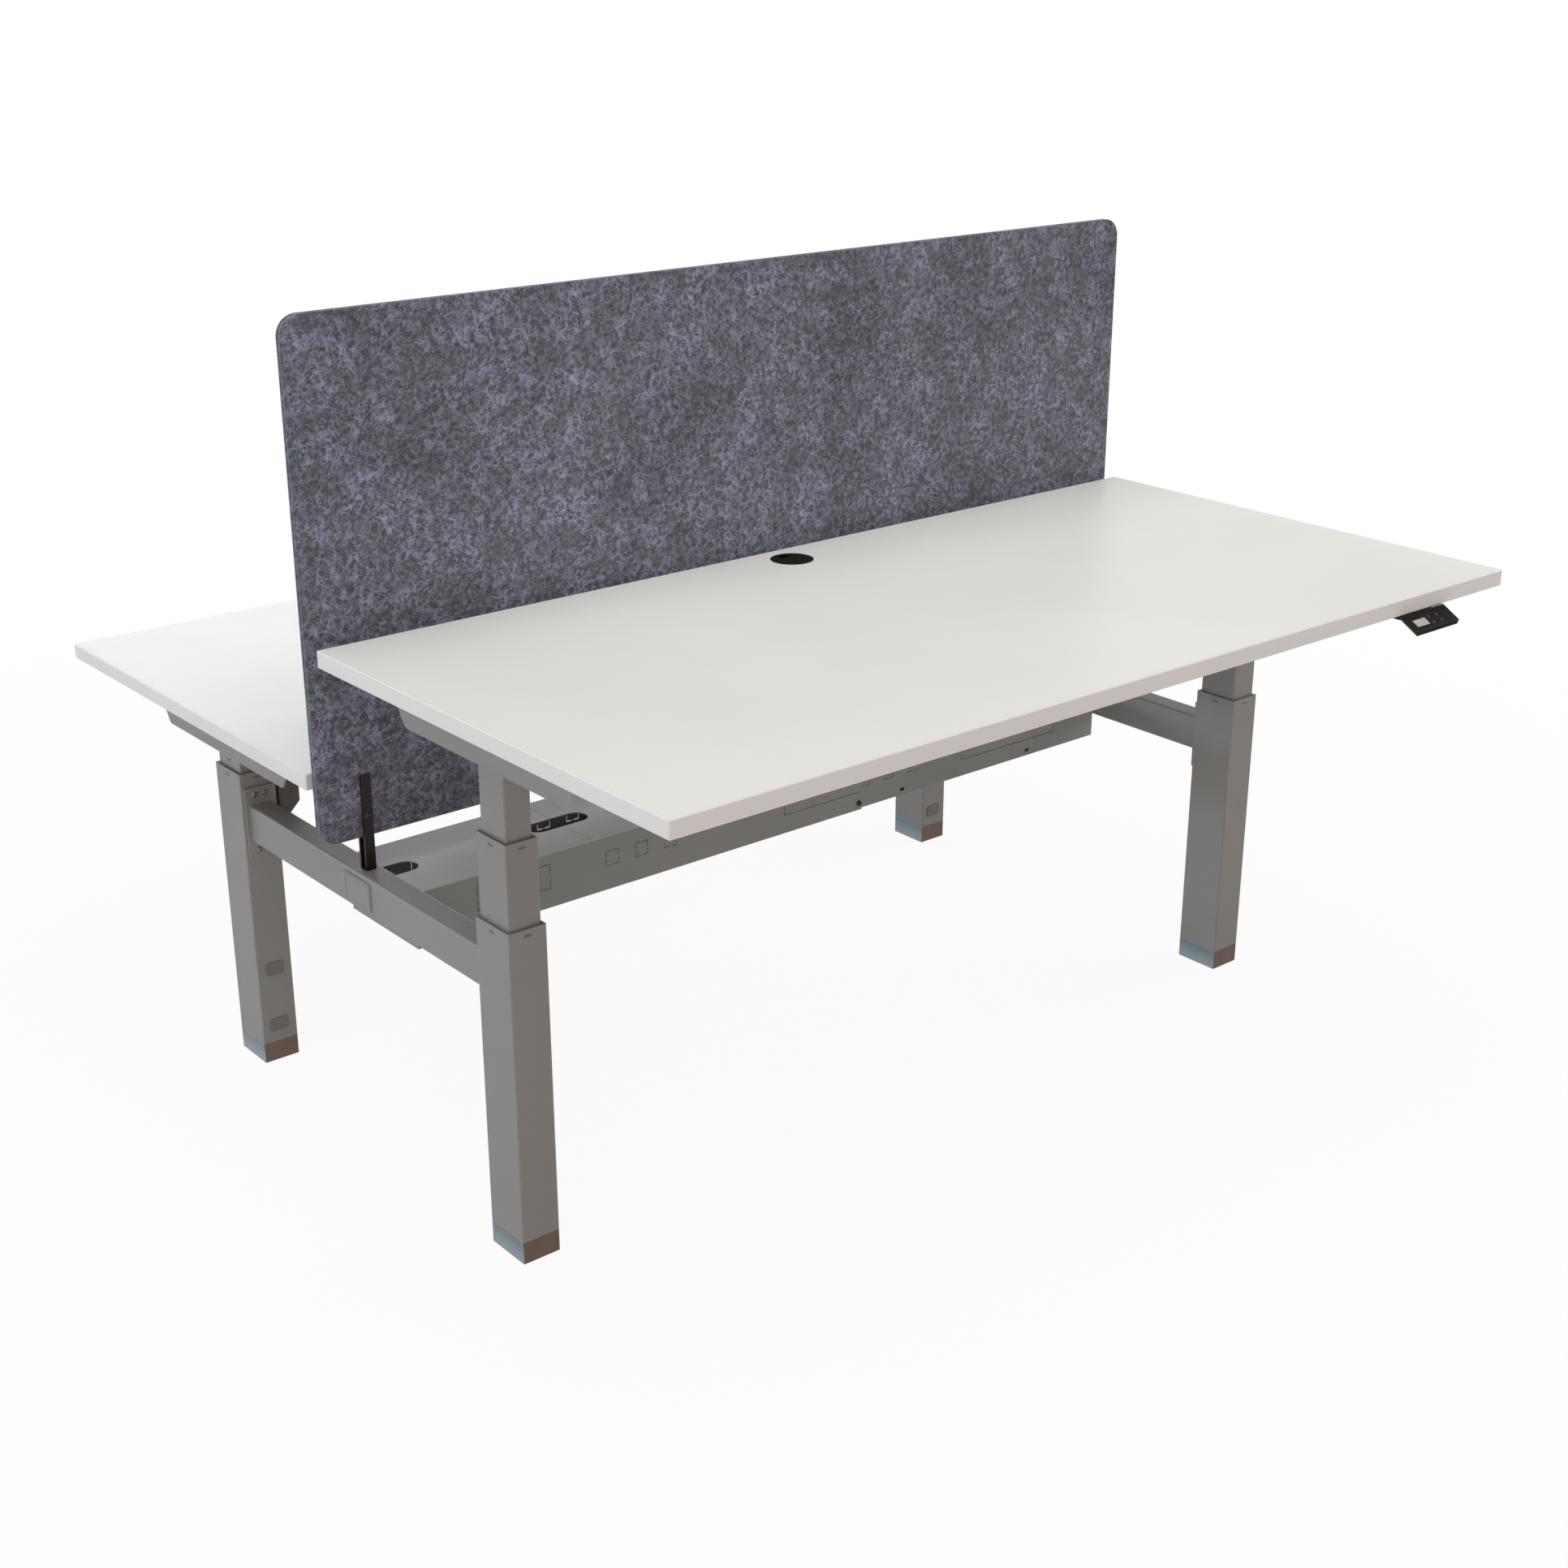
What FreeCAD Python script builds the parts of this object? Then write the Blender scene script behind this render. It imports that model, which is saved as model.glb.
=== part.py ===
import FreeCAD, Part
import math
import os
import re

# Twin height-adjustable workstation: two desks back to back on one frame, in millimetres.
# The origin is on the floor under the middle. +X runs along the desktops, +Y from the front desk to the
# rear desk, +Z up. Each desk is modelled at its lowest height and then raised by its own amount; the rear
# desk is the front desk turned half round.

SIZES = {
    # desktops
    "desktop_width": 1600,
    "desktop_depth": 800,
    "desktop_thickness": 25,
    "desktop_gap": 63,
    "desktop_low_height": 604,
    "desktop_edge_round": 2,
    "desktop_corner": 3,
    "front_raise": 200,
    "rear_raise": 0,
    # lifting columns
    "column_inset": 73,
    "column_spacing_y": 756,
    "outer_tube_width": 60,
    "outer_tube_depth": 80,
    "mid_show": 23,
    "stop_gap": 1,
    "stage_step": 5,
    "tube_wall": 2,
    "tube_corner": 2,
    "foot_plate": 6,
    "mid_floor_gap": 8,
    "mid_plate": 6,
    "inner_floor_gap": 6,
    "stage_clearance": 0.3,
    "bush_height": 30,
    "clip_width": 12,
    "clip_height": 4,
    "clip_drop": 9,
    "clip_sink": 0.4,
    "plug_width": 32,
    "plug_height": 22,
    "plug_lip": 2,
    "plug_proud": 1.5,
    "plug_corner": 5,
    "plug_low_height": 64.5,
    "plug_high_height": 163.5,
    # feet
    "shoe_lift": 1.5,
    "shoe_height": 34.5,
    "shoe_wall": 2.5,
    "pad_diameter": 10,
    "pad_inset": 9,
    # lead screws
    "lower_screw_diameter": 10,
    "lower_screw_length": 358,
    "drive_tube_wall": 1.7,
    "drive_tube_top_gap": 90,
    "drive_collar_gap": 0.8,
    "drive_collar_height": 4,
    "upper_screw_wall": 2.7,
    "upper_screw_floor_gap": 14,
    "nut_post_wall": 3.7,
    "nut_post_height": 360,
    "screw_clearance": 0.3,
    # side rails
    "rail_width": 40,
    "rail_height": 60,
    "rail_wall": 2,
    "rail_corner": 4,
    "rail_centre_height": 420,
    "rail_plate_width": 52,
    "rail_plate_margin": 28,
    "rail_plate_thickness": 5,
    "rail_screw_pitch_x": 18,
    "rail_screw_offset": 16,
    "cover_plate_length": 74,
    "cover_plate_height": 44,
    "cover_plate_thickness": 2,
    # button-head screws
    "screw_diameter": 6,
    "screw_fit": 0.2,
    "screw_tail": 1.5,
    "head_diameter": 10.5,
    "head_top_diameter": 7,
    "head_height": 3,
    "socket_radius": 2.3,
    "socket_depth": 1.8,
    # cable tray
    "tray_width": 188,
    "tray_height": 88.5,
    "tray_drop": 13,
    "tray_sheet": 1.5,
    "tray_nest": 0.2,
    "tray_hem": 5,
    "tray_lap_end": 147,
    "tray_lap_start": -147,
    "tray_screw_spread": 120,
    "lap_screw_inset": 6.5,
    "lap_screw_rise": 11.7,
    "lid_rail_gap": 5,
    "end_lid_length": 303,
    "lid_slot_width": 39,
    "lid_slot_reach": 54,
    "knockout_slit": 1.2,
    "knockout_bridge": 3.5,
    "knockout_rise": 51,
    "wide_knockout_height": 40,
    "small_knockout": 24,
    "small_knockout_pitch": 55.5,
    "left_wide_from_end": 102,
    "left_wide_length": 129,
    "left_small_from_end": 332,
    "left_lap_from_end": 685,
    "left_lap_length": 166,
    "right_wide_from_end": 101,
    "right_wide_length": 229,
    "right_small_from_end": 431,
    "adjust_slot_length": 11,
    "adjust_slot_height": 6,
    "adjust_slot_first": 167,
    "adjust_slot_second": 467,
    # felt screen and its brackets
    "screen_overhang": 3,
    "screen_height": 750,
    "screen_gap": 53.5,
    "screen_thickness": 12,
    "screen_corner": 30,
    "screen_edge_round": 1.5,
    "bracket_width": 16,
    "bracket_sheet": 3,
    "bracket_bend": 3,
    "bracket_height": 148,
    "bracket_screw_height": 84,
    # support arms, gears and drive
    "arm_tube_gap": 9,
    "arm_skirt": 4,
    "arm_top_length": 446,
    "arm_bottom_length": 378,
    "arm_sheet": 3,
    "arm_corner": 8,
    "arm_shaft_gap": 3.4,
    "gear_length": 120,
    "gear_height": 46,
    "gear_screw_depth": 15,
    "gear_shaft_depth": 12,
    "shaft_radius": 4.6,
    "shaft_end_gap": 1,
    "motor_width": 36,
    "motor_depth": 80,
    "motor_drop": 169,
    "motor_gap": 4,
    "motor_chamfer": 28,
    "motor_round": 3,
    "motor_pad_depth": 60,
    "motor_pad_height": 40,
    "motor_pad_drop": 4,
    "cross_rail_width": 30,
    "cross_rail_height": 30,
    "cross_rail_wall": 2,
    "cross_rail_spacing": 220,
    "control_box_length": 240,
    "control_box_depth": 110,
    "control_box_height": 32,
    "control_box_gap": 45,
    "control_box_round": 4,
    # grommets
    "grommet_setback": 55.5,
    "grommet_hole": 60,
    "grommet_lip": 4,
    "grommet_flange_thickness": 2.5,
    "grommet_fit": 0.2,
    "grommet_wall": 3,
    "grommet_ledge": 3,
    "grommet_cap_thickness": 4,
    "grommet_cap_gap": 0.3,
    "grommet_notch_width": 18,
    "grommet_notch_depth": 14,
    # handsets
    "handset_inset": 206,
    "handset_width": 109,
    "handset_reach": 30.1,
    "handset_slope_fall": 17.4,
    "handset_thickness": 4.8,
    "handset_draft": 4.5,
    "handset_lip_lean": 3.1,
    "handset_back_drop": 0.3,
    "handset_edge_gap": 0.8,
    "lug_inset": 19.5,
    "lug_depth": 35,
    "lug_under": 4,
    "lug_top_drop": 3.5,
    "lug_height": 8,
    "pivot_setback": 29,
    "pivot_diameter": 4,
    "pivot_clearance": 0.3,
    "ear_thickness": 5,
    "ear_gap": 0.6,
    "ear_front_setback": 24,
    "lug_swing_gap": 4,
    "handset_base_depth": 50,
    "handset_base_height": 11.5,
    "display_length": 29,
    "display_width": 13.2,
    "display_thickness": 0.8,
    "display_sink": 0.6,
    "display_gap": 0.1,
    "display_x_offset": -23,
    "display_from_edge": 19.9,
}

SIDES = {"left": -1, "right": 1}
ROWS = {"front": -1, "rear": 1}
HALF_TURN = {"front": 0, "rear": 180}
RAISE = {"front": "front_raise", "rear": "rear_raise"}

# Levels and offsets that several pieces share, as expressions on the sheet.
UNDERSIDE = "(desktop_low_height - desktop_thickness)"
FRONT_EDGE = "(-(desktop_gap / 2 + desktop_depth))"
COLUMN_X = "(desktop_width / 2 - column_inset)"
COLUMN_Y = "(column_spacing_y / 2)"
MID_WIDTH = "(outer_tube_width - 2 * stage_step)"
MID_DEPTH = "(outer_tube_depth - 2 * stage_step)"
INNER_WIDTH = "(outer_tube_width - 4 * stage_step)"
INNER_DEPTH = "(outer_tube_depth - 4 * stage_step)"
GEAR_WIDTH = f"({INNER_WIDTH} + 2 * arm_tube_gap)"
ARM_WIDTH = f"({GEAR_WIDTH} + 2 * arm_sheet)"
ARM_HEIGHT = "(arm_sheet + gear_height + arm_skirt)"
GEAR_TOP = f"({UNDERSIDE} - arm_sheet)"
GEAR_BOTTOM = f"({GEAR_TOP} - gear_height)"
SHAFT_HEIGHT = f"({GEAR_TOP} - gear_height / 2)"
FOOT_TOP = "(shoe_lift + shoe_height)"
OUTER_FLOOR = f"({FOOT_TOP} + foot_plate)"
MID_BOTTOM = f"({OUTER_FLOOR} + mid_floor_gap)"
MID_FLOOR = f"({MID_BOTTOM} + mid_plate)"
MID_TOP = f"({UNDERSIDE} - {ARM_HEIGHT} - stop_gap)"
OUTER_TOP = f"({MID_TOP} - mid_show)"
INNER_BOTTOM = f"({MID_FLOOR} + inner_floor_gap)"
LOWER_SCREW_RADIUS = "(lower_screw_diameter / 2)"
DRIVE_BORE_RADIUS = f"({LOWER_SCREW_RADIUS} + screw_clearance)"
DRIVE_TUBE_RADIUS = f"({DRIVE_BORE_RADIUS} + drive_tube_wall)"
UPPER_BORE_RADIUS = f"({DRIVE_TUBE_RADIUS} + screw_clearance)"
UPPER_SCREW_RADIUS = f"({UPPER_BORE_RADIUS} + upper_screw_wall)"
NUT_BORE_RADIUS = f"({UPPER_SCREW_RADIUS} + screw_clearance)"
NUT_POST_RADIUS = f"({NUT_BORE_RADIUS} + nut_post_wall)"
SHAFT_BORE_RADIUS = "(shaft_radius + screw_clearance)"
RAIL_TOP = "(rail_centre_height + rail_height / 2)"
RAIL_INNER_FACE = f"({COLUMN_X} - rail_width / 2)"
RAIL_PLATE_HEIGHT = "(rail_height + 2 * rail_plate_margin)"
TRAY_TOP = f"({RAIL_TOP} - tray_drop)"
TRAY_BOTTOM = f"({TRAY_TOP} - tray_height)"
LAP_SCREW_X = "(tray_lap_end - lap_screw_inset)"
LAP_SCREW_HEIGHT = f"({TRAY_BOTTOM} + lap_screw_rise)"
NEST = "(tray_sheet + tray_nest)"
SCREEN_BOTTOM = f"({RAIL_TOP} + screen_gap)"
SCREEN_SCREW_HEIGHT = f"({RAIL_TOP} + bracket_screw_height)"
SCREW_HOLE = "(screw_diameter / 2 + screw_fit)"
GROMMET_Y = "(-(desktop_gap / 2 + grommet_setback))"
GROMMET_FLANGE_RADIUS = "(grommet_hole / 2 + grommet_lip)"
GROMMET_CAP_RADIUS = "(grommet_hole / 2 - grommet_wall)"
GROMMET_BORE_RADIUS = f"({GROMMET_CAP_RADIUS} - grommet_ledge)"
HANDSET_X = "(desktop_width / 2 - handset_inset)"
PANEL_BACK = f"({FRONT_EDGE} - handset_edge_gap)"
PANEL_TOP = f"({UNDERSIDE} - handset_back_drop)"
PANEL_LENGTH = "sqrt(handset_reach ^ 2 + handset_slope_fall ^ 2)"
LUG_WIDTH = "(handset_width - 2 * lug_inset)"
PIVOT_Y = f"({PANEL_BACK} + pivot_setback)"
PIVOT_Z = f"({UNDERSIDE} - lug_top_drop - lug_height / 2)"

TOWARDS = {
    "+x": FreeCAD.Rotation(FreeCAD.Vector(0, 1, 0), 90),
    "-x": FreeCAD.Rotation(FreeCAD.Vector(0, 1, 0), -90),
    "+y": FreeCAD.Rotation(FreeCAD.Vector(1, 0, 0), -90),
    "-y": FreeCAD.Rotation(FreeCAD.Vector(1, 0, 0), 90),
    "+z": FreeCAD.Rotation(),
}
UP = FreeCAD.Vector(0, 0, 1)

doc = FreeCAD.newDocument("TwinDesk")
sheet = doc.addObject("Spreadsheet::Sheet", "Sizes")
for row, (alias, value) in enumerate(SIZES.items(), start=1):
    sheet.set(f"A{row}", alias)
    sheet.set(f"B{row}", str(value))
    sheet.setAlias(f"B{row}", alias)
doc.recompute()

ALIAS = re.compile(r"\b(" + "|".join(SIZES) + r")\b")
nodes = []


def size(alias):
    """The value of one driving dimension, read from the sheet."""
    return float(sheet.get(alias))


def bind(item, expressions):
    """Bind properties of an object to expressions on the sheet's aliases."""
    for path, text in expressions.items():
        item.setExpression(path, ALIAS.sub(r"Sizes.\1", text))


def node(item, name):
    """Give a finished sub-part its name and remember it."""
    item.Label = name
    nodes.append(item)
    return item


# Part primitives


def corner_bindings(centre, sides):
    """Bindings for a box given by its centre in X and Y, its bottom and its three sides."""
    return {
        "Length": sides[0],
        "Width": sides[1],
        "Height": sides[2],
        "Placement.Base.x": f"({centre[0]}) - ({sides[0]}) / 2",
        "Placement.Base.y": f"({centre[1]}) - ({sides[1]}) / 2",
        "Placement.Base.z": centre[2],
    }


def rod_bindings(start, radius, length):
    """Bindings for a cylinder given by the centre of its first end."""
    return {
        "Radius": radius,
        "Height": length,
        "Placement.Base.x": start[0],
        "Placement.Base.y": start[1],
        "Placement.Base.z": start[2],
    }


def block(name, centre, sides):
    item = doc.addObject("Part::Box", name)
    bind(item, corner_bindings(centre, sides))
    return item


def rod(name, start, radius, length, towards="+z"):
    item = doc.addObject("Part::Cylinder", name)
    item.Placement = FreeCAD.Placement(FreeCAD.Vector(), TOWARDS[towards])
    bind(item, rod_bindings(start, radius, length))
    return item


def fuse(name, pieces):
    item = doc.addObject("Part::MultiFuse", name)
    item.Shapes = pieces
    item.Refine = True
    return item


def cut(name, base, tools):
    item = doc.addObject("Part::Cut", name)
    item.Base = base
    item.Tool = tools[0] if len(tools) == 1 else fuse(name + "_tools", tools)
    return item


def group(name, pieces):
    item = doc.addObject("Part::Compound", name)
    item.Links = pieces
    return item


# PartDesign bodies


def body(name):
    return doc.addObject("PartDesign::Body", name)


def body_block(owner, kind, centre, sides):
    """Add a block to a body, or take one away: kind is Additive or Subtractive."""
    feature = owner.newObject(f"PartDesign::{kind}Box", f"{owner.Name}_{kind.lower()}_block")
    bind(feature, corner_bindings(centre, sides))
    return feature


def body_rod(owner, kind, start, radius, length, towards="+z"):
    """Add a cylinder to a body, or take one away."""
    feature = owner.newObject(f"PartDesign::{kind}Cylinder", f"{owner.Name}_{kind.lower()}_rod")
    feature.Placement = FreeCAD.Placement(FreeCAD.Vector(), TOWARDS[towards])
    bind(feature, rod_bindings(start, radius, length))
    return feature


def runs_along(axis):
    """A test for straight edges parallel to one axis, 0 for X, 1 for Y and 2 for Z."""
    def test(edge):
        low = edge.BoundBox
        spans = (low.XLength, low.YLength, low.ZLength)
        return all(span < 1e-6 for index, span in enumerate(spans) if index != axis)
    return test


def lies_across(axis, shape_of):
    """A test for edges in the two end faces of a body along one axis."""
    def test(edge):
        box = edge.BoundBox
        whole = shape_of().BoundBox
        low = (box.XMin, box.YMin, box.ZMin)[axis]
        high = (box.XMax, box.YMax, box.ZMax)[axis]
        ends = ((whole.XMin, whole.XMax), (whole.YMin, whole.YMax), (whole.ZMin, whole.ZMax))[axis]
        return high - low < 1e-6 and min(abs(low - end) for end in ends) < 1e-6
    return test


def dress(owner, kind, test, amount):
    """Fillet or chamfer the edges of a body's last feature that pass a test."""
    doc.recompute()
    base = owner.Tip
    names = [f"Edge{index}" for index, edge in enumerate(base.Shape.Edges, start=1) if test(edge)]
    feature = owner.newObject(f"PartDesign::{kind}", f"{owner.Name}_{kind.lower()}")
    feature.Base = (base, names)
    bind(feature, {"Radius" if kind == "Fillet" else "Size": amount})
    return feature


def place_at_column(item, side, row, lift="0"):
    """Move a piece drawn around a column's axis to one of the four columns."""
    item.Placement = FreeCAD.Placement(FreeCAD.Vector(), FreeCAD.Rotation(UP, HALF_TURN[row]))
    bind(item, {
        "Placement.Base.x": f"{SIDES[side]} * {COLUMN_X}",
        "Placement.Base.y": f"{ROWS[row]} * {COLUMN_Y}",
        "Placement.Base.z": lift,
    })
    return item


def place_on_desk(item, row):
    """Move a piece drawn for the lowered front desk to the front or the rear desk."""
    item.Placement = FreeCAD.Placement(FreeCAD.Vector(), FreeCAD.Rotation(UP, HALF_TURN[row]))
    bind(item, {"Placement.Base.z": RAISE[row]})
    return item


def button_screw(name, seat, towards, shank):
    """A button-head screw whose head sits at seat and faces one way, with a hexagon socket."""
    head = doc.addObject("Part::Cone", name + "_head")
    bind(head, {"Radius1": "head_diameter / 2", "Radius2": "head_top_diameter / 2", "Height": "head_height"})
    stem = rod(name + "_stem", ("0", "0", f"-({shank})"), "screw_diameter / 2", shank)
    socket = doc.addObject("Part::Prism", name + "_socket")
    bind(socket, {
        "Circumradius": "socket_radius",
        "Height": "socket_depth * 2",
        "Placement.Base.z": "head_height - socket_depth",
    })
    item = cut(name, fuse(name + "_solid", [head, stem]), [socket])
    item.Placement = FreeCAD.Placement(FreeCAD.Vector(), TOWARDS[towards])
    bind(item, {"Placement.Base.x": seat[0], "Placement.Base.y": seat[1], "Placement.Base.z": seat[2]})
    return item


# Lifting columns


def clip_slots(owner, width, depth, top):
    """Slots near the top of a tube's four faces, where its guide bush clips in."""
    bottom = f"{top} - clip_drop - clip_height / 2"
    body_block(owner, "Subtractive", ("0", "0", bottom), (f"2 * {width}", "clip_width", "clip_height"))
    body_block(owner, "Subtractive", ("0", "0", bottom), ("clip_width", f"2 * {depth}", "clip_height"))


def outer_column(side, row):
    item = body(f"{row}_{side}_outer_column")
    sides = ("outer_tube_width", "outer_tube_depth", f"{OUTER_TOP} - {FOOT_TOP}")
    body_block(item, "Additive", ("0", "0", FOOT_TOP), sides)
    dress(item, "Fillet", runs_along(2), "tube_corner")
    hollow = ("outer_tube_width - 2 * tube_wall", "outer_tube_depth - 2 * tube_wall", OUTER_TOP)
    body_block(item, "Subtractive", ("0", "0", OUTER_FLOOR), hollow)
    clip_slots(item, "outer_tube_width", "outer_tube_depth", OUTER_TOP)
    face = "outer_tube_depth / 2 - tube_wall / 2"
    for height in ("plug_low_height", "plug_high_height"):
        hole = ("plug_width - 2 * plug_lip", "2 * tube_wall", "plug_height - 2 * plug_lip")
        body_block(item, "Subtractive", ("0", face, f"{height} - plug_height / 2 + plug_lip"), hole)
    for x, z in rail_screw_places():
        body_rod(item, "Subtractive", (x, "outer_tube_depth / 2 - 2 * tube_wall", z), SCREW_HOLE,
                 "4 * tube_wall", "+y")
    return place_at_column(item, side, row)


def rail_screw_places():
    """Where a rail's end plate is screwed to its column, across and up."""
    rise = "(rail_height / 2 + rail_screw_offset)"
    return [(f"{sx} * rail_screw_pitch_x / 2", f"rail_centre_height + {sz} * {rise}")
            for sx in (-1, 1) for sz in (-1, 1)]


def mid_column(side, row):
    item = body(f"{row}_{side}_mid_column")
    height = f"({MID_TOP} - {MID_BOTTOM})"
    body_block(item, "Additive", ("0", "0", MID_BOTTOM), (MID_WIDTH, MID_DEPTH, height))
    dress(item, "Fillet", runs_along(2), "tube_corner")
    hollow = (f"{MID_WIDTH} - 2 * tube_wall", f"{MID_DEPTH} - 2 * tube_wall", height)
    body_block(item, "Subtractive", ("0", "0", MID_FLOOR), hollow)
    clip_slots(item, MID_WIDTH, MID_DEPTH, MID_TOP)
    body_rod(item, "Additive", ("0", "0", MID_FLOOR), NUT_POST_RADIUS, "nut_post_height")
    body_rod(item, "Subtractive", ("0", "0", MID_FLOOR), NUT_BORE_RADIUS, "2 * nut_post_height")
    body_rod(item, "Subtractive", ("0", "0", f"{MID_BOTTOM} - mid_plate"), UPPER_BORE_RADIUS, "3 * mid_plate")
    return node(place_at_column(item, side, row, f"{RAISE[row]} / 2"), item.Name)


def inner_column(side, row):
    item = body(f"{row}_{side}_inner_column")
    height = f"({GEAR_BOTTOM} - {INNER_BOTTOM})"
    body_block(item, "Additive", ("0", "0", INNER_BOTTOM), (INNER_WIDTH, INNER_DEPTH, height))
    dress(item, "Fillet", runs_along(2), "tube_corner")
    hollow = (f"{INNER_WIDTH} - 2 * tube_wall", f"{INNER_DEPTH} - 2 * tube_wall", f"2 * {height}")
    body_block(item, "Subtractive", ("0", "0", f"{INNER_BOTTOM} - {height} / 2"), hollow)
    return place_at_column(item, side, row, RAISE[row])


def guide_bush(name, width, depth, top):
    """A plastic bush that lines the top of a tube of this outer size and clips into its slots."""
    bottom = f"{top} - bush_height"
    inside = (f"{width} - 2 * tube_wall", f"{depth} - 2 * tube_wall", "bush_height")
    slip = "2 * (stage_step - stage_clearance)"
    opening = (f"{width} - {slip}", f"{depth} - {slip}", "3 * bush_height")
    lug_bottom = f"{top} - clip_drop - clip_height / 2"
    lugs_x = block(name + "_lugs_x", ("0", "0", lug_bottom),
                   (f"{width} - 2 * clip_sink", "clip_width", "clip_height"))
    lugs_y = block(name + "_lugs_y", ("0", "0", lug_bottom),
                   ("clip_width", f"{depth} - 2 * clip_sink", "clip_height"))
    lining = block(name + "_lining", ("0", "0", bottom), inside)
    hole = block(name + "_hole", ("0", "0", f"{bottom} - bush_height"), opening)
    return cut(name, fuse(name + "_solid", [lining, lugs_x, lugs_y]), [hole])


def column_plugs(side, row):
    """Two oblong plugs that close holes in the column's face towards the screen."""
    plugs = []
    for level in ("low", "high"):
        item = body(f"{row}_{side}_{level}_plug")
        height = f"plug_{level}_height"
        head = ("plug_width", "plug_proud", "plug_height")
        body_block(item, "Additive",
                   ("0", "(outer_tube_depth + plug_proud) / 2", f"{height} - plug_height / 2"), head)
        dress(item, "Fillet", runs_along(1), "plug_corner")
        spigot = ("plug_width - 2 * plug_lip", "tube_wall", "plug_height - 2 * plug_lip")
        body_block(item, "Additive",
                   ("0", "(outer_tube_depth - tube_wall) / 2", f"{height} - plug_height / 2 + plug_lip"), spigot)
        plugs.append(place_at_column(item, side, row))
    return plugs


def foot_shoe(side, row):
    item = body(f"{row}_{side}_foot_shoe")
    body_block(item, "Additive", ("0", "0", "shoe_lift"), ("outer_tube_width", "outer_tube_depth", "shoe_height"))
    dress(item, "Fillet", runs_along(2), "tube_corner")
    hollow = ("outer_tube_width - 2 * shoe_wall", "outer_tube_depth - 2 * shoe_wall", "shoe_height")
    body_block(item, "Subtractive", ("0", "0", "shoe_lift + shoe_wall"), hollow)
    return place_at_column(item, side, row)


def floor_pads(side, row):
    """Four round pads under the corners of one shoe."""
    pads = []
    for sx in (-1, 1):
        for sy in (-1, 1):
            x = f"{SIDES[side]} * {COLUMN_X} + {sx} * (outer_tube_width / 2 - pad_inset)"
            y = f"{ROWS[row]} * {COLUMN_Y} + {sy} * (outer_tube_depth / 2 - pad_inset)"
            pads.append(rod("floor_pad", (x, y, "0"), "pad_diameter / 2", "shoe_lift"))
    return pads


def lower_screw(side, row):
    """The lead screw that stands on the foot plate and does not turn."""
    start = (f"{SIDES[side]} * {COLUMN_X}", f"{ROWS[row]} * {COLUMN_Y}", OUTER_FLOOR)
    return rod(f"{row}_{side}_lower_screw", start, LOWER_SCREW_RADIUS, "lower_screw_length")


def drive_tube(side, row):
    """The turning nut and tube that rides on the middle column's floor."""
    name = f"{row}_{side}_drive_tube"
    length = f"({GEAR_BOTTOM} - drive_tube_top_gap - {MID_BOTTOM})"
    tube = rod(name + "_wall", ("0", "0", MID_BOTTOM), DRIVE_TUBE_RADIUS, length)
    collar = rod(name + "_collar", ("0", "0", MID_FLOOR), f"{NUT_BORE_RADIUS} - drive_collar_gap",
                 "drive_collar_height")
    bore = rod(name + "_bore", ("0", "0", f"{MID_BOTTOM} - {length} / 2"), DRIVE_BORE_RADIUS, f"2 * {length}")
    item = cut(name, fuse(name + "_solid", [tube, collar]), [bore])
    return node(place_at_column(item, side, row, f"{RAISE[row]} / 2"), name)


def upper_screw(side, row):
    """The hollow lead screw that hangs from the gear housing and turns with the shaft."""
    name = f"{row}_{side}_upper_screw"
    bottom = f"({MID_FLOOR} + drive_collar_height + upper_screw_floor_gap)"
    length = f"({GEAR_BOTTOM} + gear_screw_depth - shaft_end_gap - {bottom})"
    thread = rod(name + "_thread", ("0", "0", bottom), UPPER_SCREW_RADIUS, length)
    bore = rod(name + "_bore", ("0", "0", f"{bottom} - gear_screw_depth"), UPPER_BORE_RADIUS, length)
    return node(place_at_column(cut(name, thread, [bore]), side, row, RAISE[row]), name)


# Side rails


def side_rail(side):
    item = body(f"{side}_side_rail")
    length = "column_spacing_y - outer_tube_depth - 2 * rail_plate_thickness"
    bottom = "rail_centre_height - rail_height / 2"
    body_block(item, "Additive", ("0", "0", bottom), ("rail_width", length, "rail_height"))
    dress(item, "Fillet", runs_along(1), "rail_corner")
    hollow = ("rail_width - 2 * rail_wall", f"{length} + 2 * rail_wall", "rail_height - 2 * rail_wall")
    body_block(item, "Subtractive", ("0", "0", f"{bottom} + rail_wall"), hollow)
    for end in (-1, 1):
        y = f"{end} * (column_spacing_y - outer_tube_depth - rail_plate_thickness) / 2"
        plate = ("rail_plate_width", "rail_plate_thickness", RAIL_PLATE_HEIGHT)
        body_block(item, "Additive", ("0", y, f"rail_centre_height - {RAIL_PLATE_HEIGHT} / 2"), plate)
        for x, z in rail_screw_places():
            body_rod(item, "Subtractive", (x, f"{y} - rail_plate_thickness", z), SCREW_HOLE,
                     "2 * rail_plate_thickness", "+y")
    for sy in (-1, 1):
        body_rod(item, "Subtractive", ("rail_width / 2 - 2 * rail_wall", f"{sy} * tray_screw_spread / 2",
                                       "rail_centre_height"), SCREW_HOLE, "4 * rail_wall", "+x")
    body_rod(item, "Subtractive", ("0", "0", f"{RAIL_TOP} - 2 * rail_wall"), SCREW_HOLE, "4 * rail_wall")
    turn = 0 if side == "left" else 180
    item.Placement = FreeCAD.Placement(FreeCAD.Vector(), FreeCAD.Rotation(UP, turn))
    bind(item, {"Placement.Base.x": f"{SIDES[side]} * {COLUMN_X}"})
    return node(item, item.Name)


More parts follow.
